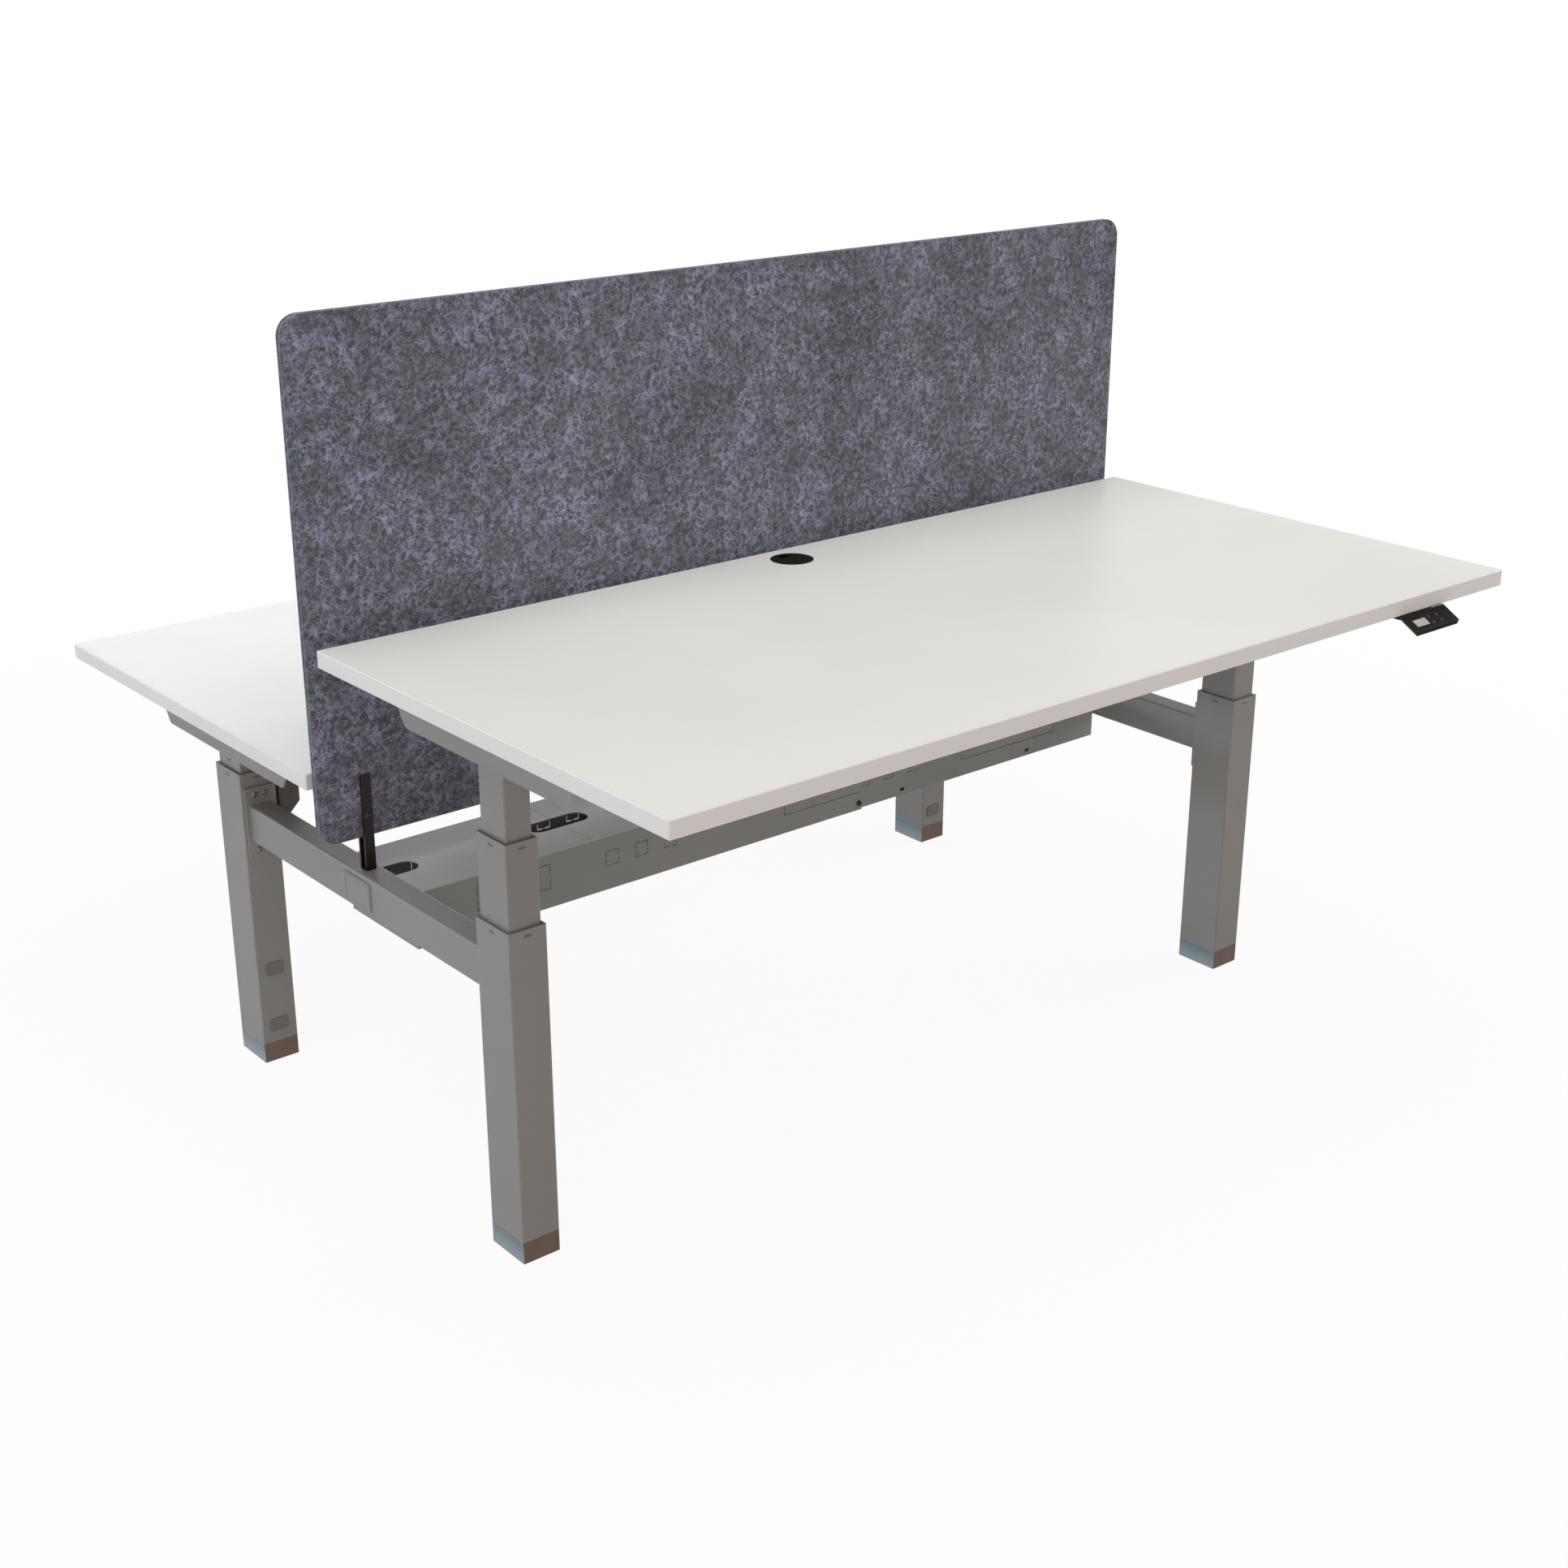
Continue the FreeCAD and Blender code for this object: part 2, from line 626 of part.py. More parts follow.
def rail_screws(side, row):
    """The four screws that hold one end plate to its column."""
    shank = "rail_plate_thickness + tube_wall"
    seat_y = "outer_tube_depth / 2 + rail_plate_thickness"
    screws = [button_screw("rail_screw", (x, seat_y, z), "+y", shank) for x, z in rail_screw_places()]
    return place_at_column(group(f"{row}_{side}_rail_screws", screws), side, row)


def cover_plate(side):
    x = f"{SIDES[side]} * ({COLUMN_X} + (rail_width + cover_plate_thickness) / 2)"
    return block(f"{side}_cover_plate", (x, "0", "rail_centre_height - cover_plate_height / 2"),
                 ("cover_plate_thickness", "cover_plate_length", "cover_plate_height"))


# Cable tray


def dashed_frame(left, centre, length, height, bridges, right_side=True):
    """Slit boxes along a rectangle's sides, with bridges left between them; the right side can be left whole."""
    slit = size("knockout_slit")
    bridge = size("knockout_bridge")
    depth = 2 * size("tray_width")
    low = centre - height / 2
    boxes = []

    def slits(start, span, gaps, make):
        dash = (span - gaps * bridge) / (gaps + 1)
        for index in range(gaps + 1):
            make(start + index * (dash + bridge), dash)

    for z in (low, low + height - slit):
        slits(left, length, bridges, lambda at, dash, z=z: boxes.append(
            Part.makeBox(dash, depth, slit, FreeCAD.Vector(at, -depth / 2, z))))
    uprights = [left, left + length - slit] if right_side else [left]
    for x in uprights:
        slits(low, height, 1, lambda at, dash, x=x: boxes.append(
            Part.makeBox(slit, depth, dash, FreeCAD.Vector(x, -depth / 2, at))))
    return boxes


def slit_tool(name, boxes):
    """One cutting shape from many slits, which meet at the corners."""
    tool = doc.addObject("Part::Feature", name)
    tool.Shape = boxes[0].multiFuse(boxes[1:])
    return tool


def rail_inner_face():
    """How far the rails' inner faces are from the middle."""
    return size("desktop_width") / 2 - size("column_inset") - size("rail_width") / 2


def knockout_level():
    """The height of the middle of the knock-outs."""
    rail_top = size("rail_centre_height") + size("rail_height") / 2
    return rail_top - size("tray_drop") - size("tray_height") + size("knockout_rise")


def small_knockouts(first):
    """Three square knock-outs in a row."""
    boxes = []
    for index in range(3):
        left = first + index * size("small_knockout_pitch")
        side = size("small_knockout")
        boxes += dashed_frame(left, knockout_level(), side, side, 1)
    return boxes


def trough(name, side, free_end, inset, slits):
    """A channel of four welded plates from a rail to its free end; inset makes the one that nests inside."""
    rail_end = f"{SIDES[side]} * {RAIL_INNER_FACE}"
    length = f"abs({rail_end} - {free_end})"
    middle = f"({rail_end} + {free_end}) / 2"
    width = f"(tray_width - 2 * {inset})"
    between = f"({width} - 2 * tray_sheet)"
    bottom = f"({TRAY_BOTTOM} + {inset})"
    top = f"({TRAY_TOP} - tray_sheet - {inset})"
    wall_height = f"({top} - {bottom})"
    plates = [block(name + "_floor", (middle, "0", bottom), (length, between, "tray_sheet"))]
    end = block(name + "_end", (f"{rail_end} - {SIDES[side]} * tray_sheet / 2", "0", f"{bottom} + tray_sheet"),
                ("tray_sheet", between, f"{wall_height} - 2 * tray_sheet"))
    end_holes = [rod(name + "_end_hole", (f"{rail_end} - rail_wall", f"{sy} * tray_screw_spread / 2",
                                          "rail_centre_height"), SCREW_HOLE, "2 * rail_wall", "+x")
                 for sy in (-1, 1)]
    plates.append(cut(name + "_end_plate", end, end_holes))
    lap_hole = rod(name + "_lap_hole", (LAP_SCREW_X, "-tray_width", LAP_SCREW_HEIGHT), SCREW_HOLE,
                   "2 * tray_width", "+y")
    for sy in (-1, 1):
        wall = block(name + "_wall", (middle, f"{sy} * ({width} - tray_sheet) / 2", bottom),
                     (length, "tray_sheet", wall_height))
        hem = block(name + "_hem", (middle, f"{sy} * ({width} - tray_hem) / 2", f"{top} - tray_sheet"),
                    (length, "tray_hem", "tray_sheet"))
        plates.append(cut(name + "_side_plate", fuse(name + "_side", [wall, hem]), [lap_hole] + slits))
    return node(group(name, plates), name)


def left_trough():
    end = -rail_inner_face()
    level = knockout_level()
    tall = size("wide_knockout_height")
    boxes = dashed_frame(end + size("left_wide_from_end"), level, size("left_wide_length"), tall, 2)
    boxes += small_knockouts(end + size("left_small_from_end"))
    boxes += dashed_frame(end + size("left_lap_from_end"), level, size("left_lap_length"), tall, 2, False)
    slits = [slit_tool("left_trough_slits", boxes)]
    return trough("tray_left_trough", "left", "tray_lap_end", "0", slits)


def right_trough():
    end = rail_inner_face()
    level = knockout_level()
    wide = size("right_wide_length")
    tall = size("wide_knockout_height")
    boxes = dashed_frame(end - size("right_wide_from_end") - wide, level, wide, tall, 3)
    row = 2 * size("small_knockout_pitch") + size("small_knockout")
    boxes += small_knockouts(end - size("right_small_from_end") - row)
    slits = [slit_tool("right_trough_slits", boxes)]
    straight = "(adjust_slot_length - adjust_slot_height)"
    bottom = f"{LAP_SCREW_HEIGHT} - adjust_slot_height / 2"
    for offset in ("adjust_slot_first", "adjust_slot_second"):
        x = f"{RAIL_INNER_FACE} - {offset}"
        slits.append(block("adjust_slot", (x, "0", bottom), (straight, "2 * tray_width", "adjust_slot_height")))
        for sx in (-1, 1):
            start = (f"{x} + {sx} * {straight} / 2", "-tray_width", LAP_SCREW_HEIGHT)
            slits.append(rod("adjust_slot_end", start, "adjust_slot_height / 2", "2 * tray_width", "+y"))
    return trough("tray_right_trough", "right", "tray_lap_start", NEST, slits)


def lid(name, start, end, top, notch_start, notch_end):
    """A flat lid with half of a cable slot at one end or at both."""
    middle = f"(({start}) + ({end})) / 2"
    sheet_block = block(name + "_sheet", (middle, "0", f"{top} - tray_sheet"),
                        (f"({end}) - ({start})", "tray_width", "tray_sheet"))
    tools = []
    for wanted, edge, inward in ((notch_start, start, 1), (notch_end, end, -1)):
        if wanted:
            straight = "(lid_slot_reach - lid_slot_width / 2)"
            centre = f"({edge}) + {inward} * {straight}"
            tools.append(block(name + "_slot", (edge, "0", f"{top} - 2 * tray_sheet"),
                               (f"2 * {straight}", "lid_slot_width", "3 * tray_sheet")))
            tools.append(rod(name + "_slot_end", (centre, "0", f"{top} - 2 * tray_sheet"),
                             "lid_slot_width / 2", "3 * tray_sheet"))
    return cut(name, sheet_block, tools)


def tray_lids():
    """End lids beside the rails and middle lids up to the lap of the two troughs."""
    outer = f"({RAIL_INNER_FACE} - lid_rail_gap)"
    seam = f"({outer} - end_lid_length)"
    low = f"({TRAY_TOP} - {NEST})"
    lids = [
        lid("left_end_lid", f"-{outer}", f"-{seam}", TRAY_TOP, True, True),
        lid("left_middle_lid", f"-{seam}", "tray_lap_end", TRAY_TOP, True, False),
        lid("right_middle_lid", "tray_lap_end", seam, low, False, True),
        lid("right_end_lid", seam, outer, low, True, True),
    ]
    return node(group("tray_lids", lids), "tray_lids")


# Felt screen


def privacy_screen():
    """The felt screen, a little wider than the desktops it parts."""
    item = body("privacy_screen")
    sides = ("desktop_width + 2 * screen_overhang", "screen_thickness", "screen_height")
    body_block(item, "Additive", ("0", "0", SCREEN_BOTTOM), sides)
    dress(item, "Fillet", runs_along(1), "screen_corner")
    dress(item, "Fillet", lies_across(1, lambda: item.Tip.Shape), "screen_edge_round")
    for sx in (-1, 1):
        body_rod(item, "Subtractive", (f"{sx} * {COLUMN_X}", "-screen_thickness", SCREEN_SCREW_HEIGHT),
                 SCREW_HOLE, "2 * screen_thickness", "+y")
    return node(item, "privacy_screen")


def screen_bracket(side):
    """A U-shaped strip that stands on a rail and holds the screen between its arms."""
    item = body(f"{side}_screen_bracket")
    x = f"{SIDES[side]} * {COLUMN_X}"
    body_block(item, "Additive", (x, "0", RAIL_TOP),
               ("bracket_width", "screen_thickness + 2 * bracket_sheet", "bracket_height"))

    def bottom_bend(edge):
        return runs_along(0)(edge) and edge.BoundBox.ZMax < size("rail_centre_height") + size("rail_height")

    dress(item, "Fillet", bottom_bend, "bracket_bend")
    body_block(item, "Subtractive", (x, "0", f"{RAIL_TOP} + bracket_sheet"),
               ("2 * bracket_width", "screen_thickness", "bracket_height"))
    body_rod(item, "Subtractive", (x, "-screen_thickness", SCREEN_SCREW_HEIGHT), SCREW_HOLE,
             "2 * screen_thickness", "+y")
    body_rod(item, "Subtractive", (x, "0", f"{RAIL_TOP} - bracket_sheet"), SCREW_HOLE, "3 * bracket_sheet")
    return item


def base_screws():
    """Screws of the screen brackets, the tray's ends and the tray's lap."""
    screws = []
    plate = "screen_thickness / 2 + bracket_sheet"
    for side, sign in SIDES.items():
        x = f"{sign} * {COLUMN_X}"
        for sy, towards in ((-1, "-y"), (1, "+y")):
            seat = (x, f"{sy} * ({plate})", SCREEN_SCREW_HEIGHT)
            screws.append(button_screw("screen_screw", seat, towards, plate))
        screws.append(button_screw("bracket_screw", (x, "0", f"{RAIL_TOP} + bracket_sheet"), "+z",
                                   "bracket_sheet + rail_wall + screw_tail"))
        towards = "+x" if side == "left" else "-x"
        for sy in (-1, 1):
            seat = (f"{sign} * ({RAIL_INNER_FACE} - tray_sheet)", f"{sy} * tray_screw_spread / 2",
                    "rail_centre_height")
            screws.append(button_screw("tray_end_screw", seat, towards, "tray_sheet + rail_wall + screw_tail"))
    for sy, towards in ((-1, "-y"), (1, "+y")):
        seat = (LAP_SCREW_X, f"{sy} * tray_width / 2", LAP_SCREW_HEIGHT)
        screws.append(button_screw("tray_lap_screw", seat, towards, "2 * tray_sheet + tray_nest + screw_tail"))
    return node(group("screen_and_tray_screws", screws), "screen_and_tray_screws")


# Desks


def desktop(row):
    item = body(f"{row}_desktop")
    y = "-(desktop_gap + desktop_depth) / 2"
    body_block(item, "Additive", ("0", y, UNDERSIDE), ("desktop_width", "desktop_depth", "desktop_thickness"))
    dress(item, "Fillet", runs_along(2), "desktop_corner")
    dress(item, "Fillet", lies_across(2, lambda: item.Tip.Shape), "desktop_edge_round")
    body_rod(item, "Subtractive", ("0", GROMMET_Y, f"{UNDERSIDE} - desktop_thickness"), "grommet_hole / 2",
             "3 * desktop_thickness")
    body_rod(item, "Subtractive", ("0", GROMMET_Y, "desktop_low_height - grommet_flange_thickness"),
             f"{GROMMET_FLANGE_RADIUS} + grommet_fit", "desktop_thickness")
    return node(place_on_desk(item, row), item.Name)


def trapezium(name, width, bottom_length, top_length, bottom, height):
    """A bar across a column: width along X, longer at the top than at the bottom along Y."""
    item = doc.addObject("Part::Wedge", name)
    item.Placement = FreeCAD.Placement(FreeCAD.Vector(), TOWARDS["-y"])
    bind(item, {
        "Xmin": f"-{width} / 2", "Xmax": f"{width} / 2", "X2min": f"-{width} / 2", "X2max": f"{width} / 2",
        "Ymin": "0", "Ymax": height,
        "Zmin": f"-({bottom_length}) / 2", "Zmax": f"({bottom_length}) / 2",
        "Z2min": f"-({top_length}) / 2", "Z2max": f"({top_length}) / 2",
        "Placement.Base.z": bottom,
    })
    return item


def support_arm(side, row):
    """A pressed channel under the desktop, open below and at its sloping ends."""
    name = f"{row}_{side}_support_arm"
    outside = trapezium(name + "_outside", ARM_WIDTH, "arm_bottom_length", "arm_top_length",
                        f"{UNDERSIDE} - {ARM_HEIGHT}", ARM_HEIGHT)
    doc.recompute()
    low = outside.Shape.BoundBox.ZMin
    rounded = doc.addObject("Part::Fillet", name + "_rounded")
    rounded.Base = outside
    rounded.Edges = [
        (index, size("arm_corner"), size("arm_corner"))
        for index, edge in enumerate(outside.Shape.Edges, start=1)
        if runs_along(0)(edge) and edge.BoundBox.ZMax < low + 1e-6
    ]
    inside = block(name + "_inside", ("0", "0", f"{UNDERSIDE} - {ARM_HEIGHT}"),
                   (GEAR_WIDTH, "2 * arm_top_length", f"{ARM_HEIGHT} - arm_sheet"))
    hole = rod(name + "_hole", ("0", "0", SHAFT_HEIGHT), "shaft_radius + arm_shaft_gap", ARM_WIDTH,
               "+x" if side == "left" else "-x")
    item = cut(name, rounded, [inside, hole])
    bind(item, {"Placement.Base.x": f"{SIDES[side]} * {COLUMN_X}", "Placement.Base.y": f"-{COLUMN_Y}"})
    return item


def gear_housing(side, row):
    name = f"{row}_{side}_gear_housing"
    x = f"{SIDES[side]} * {COLUMN_X}"
    y = f"-{COLUMN_Y}"
    case = block(name + "_case", (x, y, GEAR_BOTTOM), (GEAR_WIDTH, "gear_length", "gear_height"))
    screw_bore = rod(name + "_screw_bore", (x, y, f"{GEAR_BOTTOM} - gear_screw_depth"), NUT_BORE_RADIUS,
                     "2 * gear_screw_depth")
    bore_end = f"{SIDES[side]} * ({COLUMN_X} - {GEAR_WIDTH} / 2 + gear_shaft_depth)"
    shaft_bore = rod(name + "_shaft_bore", (bore_end, y, SHAFT_HEIGHT), SHAFT_BORE_RADIUS,
                     "2 * gear_shaft_depth", "+x" if side == "left" else "-x")
    return cut(name, case, [screw_bore, shaft_bore])


def motor(row):
    """The upright motor beside the column at the user's right hand."""
    item = body(f"{row}_motor")
    outer_face = f"({COLUMN_X} - outer_tube_width / 2 - motor_gap)"
    arm_face = f"({COLUMN_X} - {ARM_WIDTH} / 2)"
    y = f"-{COLUMN_Y}"
    body_block(item, "Additive", (f"{outer_face} - motor_width / 2", y, f"{UNDERSIDE} - motor_drop"),
               ("motor_width", "motor_depth", "motor_drop"))
    doc.recompute()
    whole = item.Tip.Shape.BoundBox

    def low_inner_edge(edge):
        box = edge.BoundBox
        return runs_along(1)(edge) and box.ZMax < whole.ZMin + 1e-6 and box.XMax < whole.XMin + 1e-6

    dress(item, "Chamfer", low_inner_edge, "motor_chamfer")
    dress(item, "Fillet", runs_along(2), "motor_round")
    body_block(item, "Additive", (f"({outer_face} + {arm_face}) / 2 - motor_round / 2", y,
                                  f"{UNDERSIDE} - motor_pad_drop - motor_pad_height"),
               (f"{arm_face} - {outer_face} + motor_round", "motor_pad_depth", "motor_pad_height"))
    body_rod(item, "Subtractive", (f"{outer_face} - 2 * motor_width", y, SHAFT_HEIGHT), SHAFT_BORE_RADIUS,
             "4 * motor_width", "+x")
    return node(place_on_desk(item, row), item.Name)


def drive_shaft(row):
    """The hexagon shaft through the motor, from the gear housing of one column to the other."""
    item = doc.addObject("Part::Prism", f"{row}_drive_shaft_bar")
    reach = f"({COLUMN_X} - {GEAR_WIDTH} / 2 + gear_shaft_depth - shaft_end_gap)"
    item.Placement = FreeCAD.Placement(FreeCAD.Vector(), TOWARDS["+x"])
    bind(item, {
        "Circumradius": "shaft_radius",
        "Height": f"2 * {reach}",
        "Placement.Base.x": f"-{reach}",
        "Placement.Base.y": f"-{COLUMN_Y}",
        "Placement.Base.z": SHAFT_HEIGHT,
    })
    name = f"{row}_drive_shaft"
    return node(place_on_desk(group(name, [item]), row), name)


def cross_rails(row):
    """Two tubes under the desktop that join the support arms."""
    rails = []
    for sy in (-1, 1):
        centre = ("0", f"-{COLUMN_Y} + {sy} * cross_rail_spacing / 2", f"{UNDERSIDE} - cross_rail_height")
        length = f"(2 * {COLUMN_X} - {ARM_WIDTH})"
        bar = block(f"{row}_cross_bar", centre, (length, "cross_rail_width", "cross_rail_height"))
        inside = (f"2 * {length}", "cross_rail_width - 2 * cross_rail_wall",
                  "cross_rail_height - 2 * cross_rail_wall")
        hollow = block(f"{row}_cross_hollow", (centre[0], centre[1], centre[2] + " + cross_rail_wall"), inside)
        rails.append(cut(f"{row}_cross_rail", bar, [hollow]))
    name = f"{row}_cross_rails"
    return node(place_on_desk(group(name, rails), row), name)


def control_box(row):
    item = body(f"{row}_control_box")
    back = f"(-{COLUMN_Y} - (cross_rail_spacing + cross_rail_width) / 2 - control_box_gap)"
    y = f"{back} - control_box_depth / 2"
    body_block(item, "Additive", ("0", y, f"{UNDERSIDE} - control_box_height"),
               ("control_box_length", "control_box_depth", "control_box_height"))
    dress(item, "Fillet", runs_along(2), "control_box_round")
    return node(place_on_desk(item, row), item.Name)


def grommet_ring(row):
    """The liner of the cable hole: a flush flange, a sleeve and a ledge for the cap."""
    name = f"{row}_grommet_ring"
    top = "desktop_low_height"
    flange = rod(name + "_flange", ("0", GROMMET_Y, f"{top} - grommet_flange_thickness"), GROMMET_FLANGE_RADIUS,
                 "grommet_flange_thickness")
    sleeve = rod(name + "_sleeve", ("0", GROMMET_Y, UNDERSIDE), "grommet_hole / 2 - grommet_fit",
                 "desktop_thickness")
    seat = rod(name + "_seat", ("0", GROMMET_Y, f"{top} - grommet_cap_thickness"),
               f"{GROMMET_CAP_RADIUS} + grommet_cap_gap", "desktop_thickness")
    bore = rod(name + "_bore", ("0", GROMMET_Y, f"{UNDERSIDE} - desktop_thickness"), GROMMET_BORE_RADIUS,
               "3 * desktop_thickness")
    item = cut(name, fuse(name + "_solid", [flange, sleeve]), [seat, bore])
    return node(place_on_desk(item, row), name)


def grommet_cap(row):
    """A cap that turns on the ledge, with a notch for cables at its rear edge."""
    name = f"{row}_grommet_cap"
    bottom = "desktop_low_height - grommet_cap_thickness"
    disc = rod(name + "_disc", ("0", GROMMET_Y, bottom), GROMMET_CAP_RADIUS, "grommet_cap_thickness")
    rim = ("0", f"{GROMMET_Y} + {GROMMET_CAP_RADIUS}", f"{bottom} - grommet_cap_thickness")
    notch = block(name + "_notch", rim,
                  ("grommet_notch_width", "2 * grommet_notch_depth", "3 * grommet_cap_thickness"))
    return node(place_on_desk(cut(name, disc, [notch]), row), name)


# Handsets


def handset_base(row):
    """The fixed half under the desktop: a case, two ears and the pivot pin between them."""
    name = f"{row}_handset_base"
    full = f"({LUG_WIDTH} + 2 * ear_gap + 2 * ear_thickness)"
    case_bottom = f"{UNDERSIDE} - handset_base_height"
    case_front = f"({PANEL_BACK} + lug_depth + lug_swing_gap)"
    ear_depth = f"({case_front} - {FRONT_EDGE} - ear_front_setback)"
    pieces = [block(name + "_case", (HANDSET_X, f"{case_front} + handset_base_depth / 2", case_bottom),
                    (full, "handset_base_depth", "handset_base_height"))]
    for sx in (-1, 1):
        ear_x = f"{HANDSET_X} + {sx} * ({full} - ear_thickness) / 2"
        pieces.append(block(name + "_ear", (ear_x, f"{case_front} - {ear_depth} / 2", case_bottom),
                            ("ear_thickness", ear_depth, "handset_base_height")))
    pieces.append(rod(name + "_pin", (f"{HANDSET_X} - {full} / 2", PIVOT_Y, PIVOT_Z), "pivot_diameter / 2",
                      full, "+x"))
    return node(place_on_desk(fuse(name, pieces), row), name)


def panel_slope():
    """The angle at which a handset's panel falls away from the desktop."""
    return math.atan2(size("handset_slope_fall"), size("handset_reach"))


def display_block(name, grow):
    """The display's outline on the sloping panel, grown by a clearance and sunk into the panel."""
    cosine = math.cos(panel_slope())
    sine = math.sin(panel_slope())
    item = doc.addObject("Part::Box", name)
    item.Placement = FreeCAD.Placement(
        FreeCAD.Vector(), FreeCAD.Rotation(FreeCAD.Vector(1, 0, 0), math.degrees(panel_slope())))
    along = f"(display_from_edge + display_width / 2 + {grow})"
    bind(item, {
        "Length": f"display_length + 2 * {grow}",
        "Width": f"display_width + 2 * {grow}",
        "Height": "display_thickness",
        "Placement.Base.x": f"{HANDSET_X} + display_x_offset - display_length / 2 - {grow}",
        "Placement.Base.y": f"{PANEL_BACK} - {along} * {cosine} + display_sink * {sine}",
        "Placement.Base.z": f"{PANEL_TOP} - {along} * {sine} - display_sink * {cosine}",
    })
    return item


def handset_paddle(row):
    """The sloping panel in front of the desktop, with a lug that turns on the pivot pin.

    The panel lies on its slope: its sides draw in underneath and its front lip stands upright.
    """
    name = f"{row}_handset_paddle"
    panel = doc.addObject("Part::Wedge", name + "_panel")
    panel.Placement = FreeCAD.Placement(
        FreeCAD.Vector(), FreeCAD.Rotation(FreeCAD.Vector(1, 0, 0), 90 + math.degrees(panel_slope())))
    bind(panel, {
        "Xmin": "-handset_width / 2 + handset_draft", "Xmax": "handset_width / 2 - handset_draft",
        "X2min": "-handset_width / 2", "X2max": "handset_width / 2",
        "Ymin": "-handset_thickness", "Ymax": "0",
        "Zmin": "0", "Zmax": f"{PANEL_LENGTH} + handset_lip_lean",
        "Z2min": "0", "Z2max": PANEL_LENGTH,
        "Placement.Base.x": HANDSET_X,
        "Placement.Base.y": PANEL_BACK,
        "Placement.Base.z": PANEL_TOP,
    })
    lug = block(name + "_lug", (HANDSET_X, f"{PANEL_BACK} + (lug_depth - lug_under) / 2",
                                f"{UNDERSIDE} - lug_top_drop - lug_height"),
                (LUG_WIDTH, "lug_depth + lug_under", "lug_height"))
    bore = rod(name + "_bore", (f"{HANDSET_X} - {LUG_WIDTH}", PIVOT_Y, PIVOT_Z),
               "pivot_diameter / 2 + pivot_clearance", f"2 * {LUG_WIDTH}", "+x")
    item = cut(name, fuse(name + "_solid", [panel, lug]), [bore, display_block(name + "_pocket", "display_gap")])
    return node(place_on_desk(item, row), name)


def handset_display(row):
    name = f"{row}_handset_display"
    return node(place_on_desk(group(name, [display_block(name + "_glass", "0")]), row), name)


def column_set(name, make):
    """One sub-part made of the same piece at all four columns."""
    pieces = []
    for row in ROWS:
        for side in SIDES:
            made = make(side, row)
            pieces += made if isinstance(made, list) else [made]
    return node(group(name, pieces), name)


def outer_bush(side, row):
    item = guide_bush(f"{row}_{side}_outer_bush", "outer_tube_width", "outer_tube_depth", OUTER_TOP)
    return place_at_column(item, side, row)


def mid_bush(side, row):
    name = f"{row}_{side}_mid_bush"
    item = guide_bush(name, MID_WIDTH, MID_DEPTH, MID_TOP)
    return node(place_at_column(item, side, row, f"{RAISE[row]} / 2"), name)


def desk_pair(row, name, make):
    """One sub-part of a desk made of its left and its right piece."""
    return node(group(f"{row}_{name}", [make(side, row) for side in SIDES]), f"{row}_{name}")


# The shared frame
for row in ROWS:
    desk_pair(row, "outer_columns", outer_column)
column_set("foot_shoes", foot_shoe)
column_set("floor_pads", floor_pads)
column_set("column_plugs", column_plugs)
column_set("outer_guide_bushes", outer_bush)
column_set("lower_lead_screws", lower_screw)
column_set("rail_screws", rail_screws)
for side in SIDES:
    side_rail(side)
node(group("rail_cover_plates", [cover_plate(side) for side in SIDES]), "rail_cover_plates")
left_trough()
right_trough()
tray_lids()
privacy_screen()
node(group("screen_brackets", [screen_bracket(side) for side in SIDES]), "screen_brackets")
base_screws()

# The middle stage of each column
for row in ROWS:
    for side in SIDES:
        mid_column(side, row)
        mid_bush(side, row)
        drive_tube(side, row)
        upper_screw(side, row)

# The two desks
for row in ROWS:
    desktop(row)
    desk_pair(row, "inner_columns", inner_column)
    for name, make in (("support_arms", support_arm), ("gear_housings", gear_housing)):
        place_on_desk(desk_pair(row, name, make), row)
    motor(row)
    drive_shaft(row)
    cross_rails(row)
    control_box(row)
    grommet_ring(row)
    grommet_cap(row)
    handset_base(row)
    handset_paddle(row)
    handset_display(row)

doc.recompute()

for item in doc.Objects:
    if "Invalid" in item.State or "Error" in item.State:
        raise RuntimeError(f"{item.Label} failed to build: {item.State}")
for item in nodes:
    if item.Shape.isNull() or not item.Shape.isValid():
        raise RuntimeError(f"{item.Label} has no valid shape")

os.makedirs("parts", exist_ok=True)
for item in nodes:
    item.Shape.exportStep(f"parts/{item.Label}.step")
    box = item.Shape.BoundBox
    print(f"{item.Label}: {len(item.Shape.Solids)} solids, x {box.XMin:.1f} to {box.XMax:.1f}, "
          f"y {box.YMin:.1f} to {box.YMax:.1f}, z {box.ZMin:.1f} to {box.ZMax:.1f}")
print(len(nodes), "sub-parts")
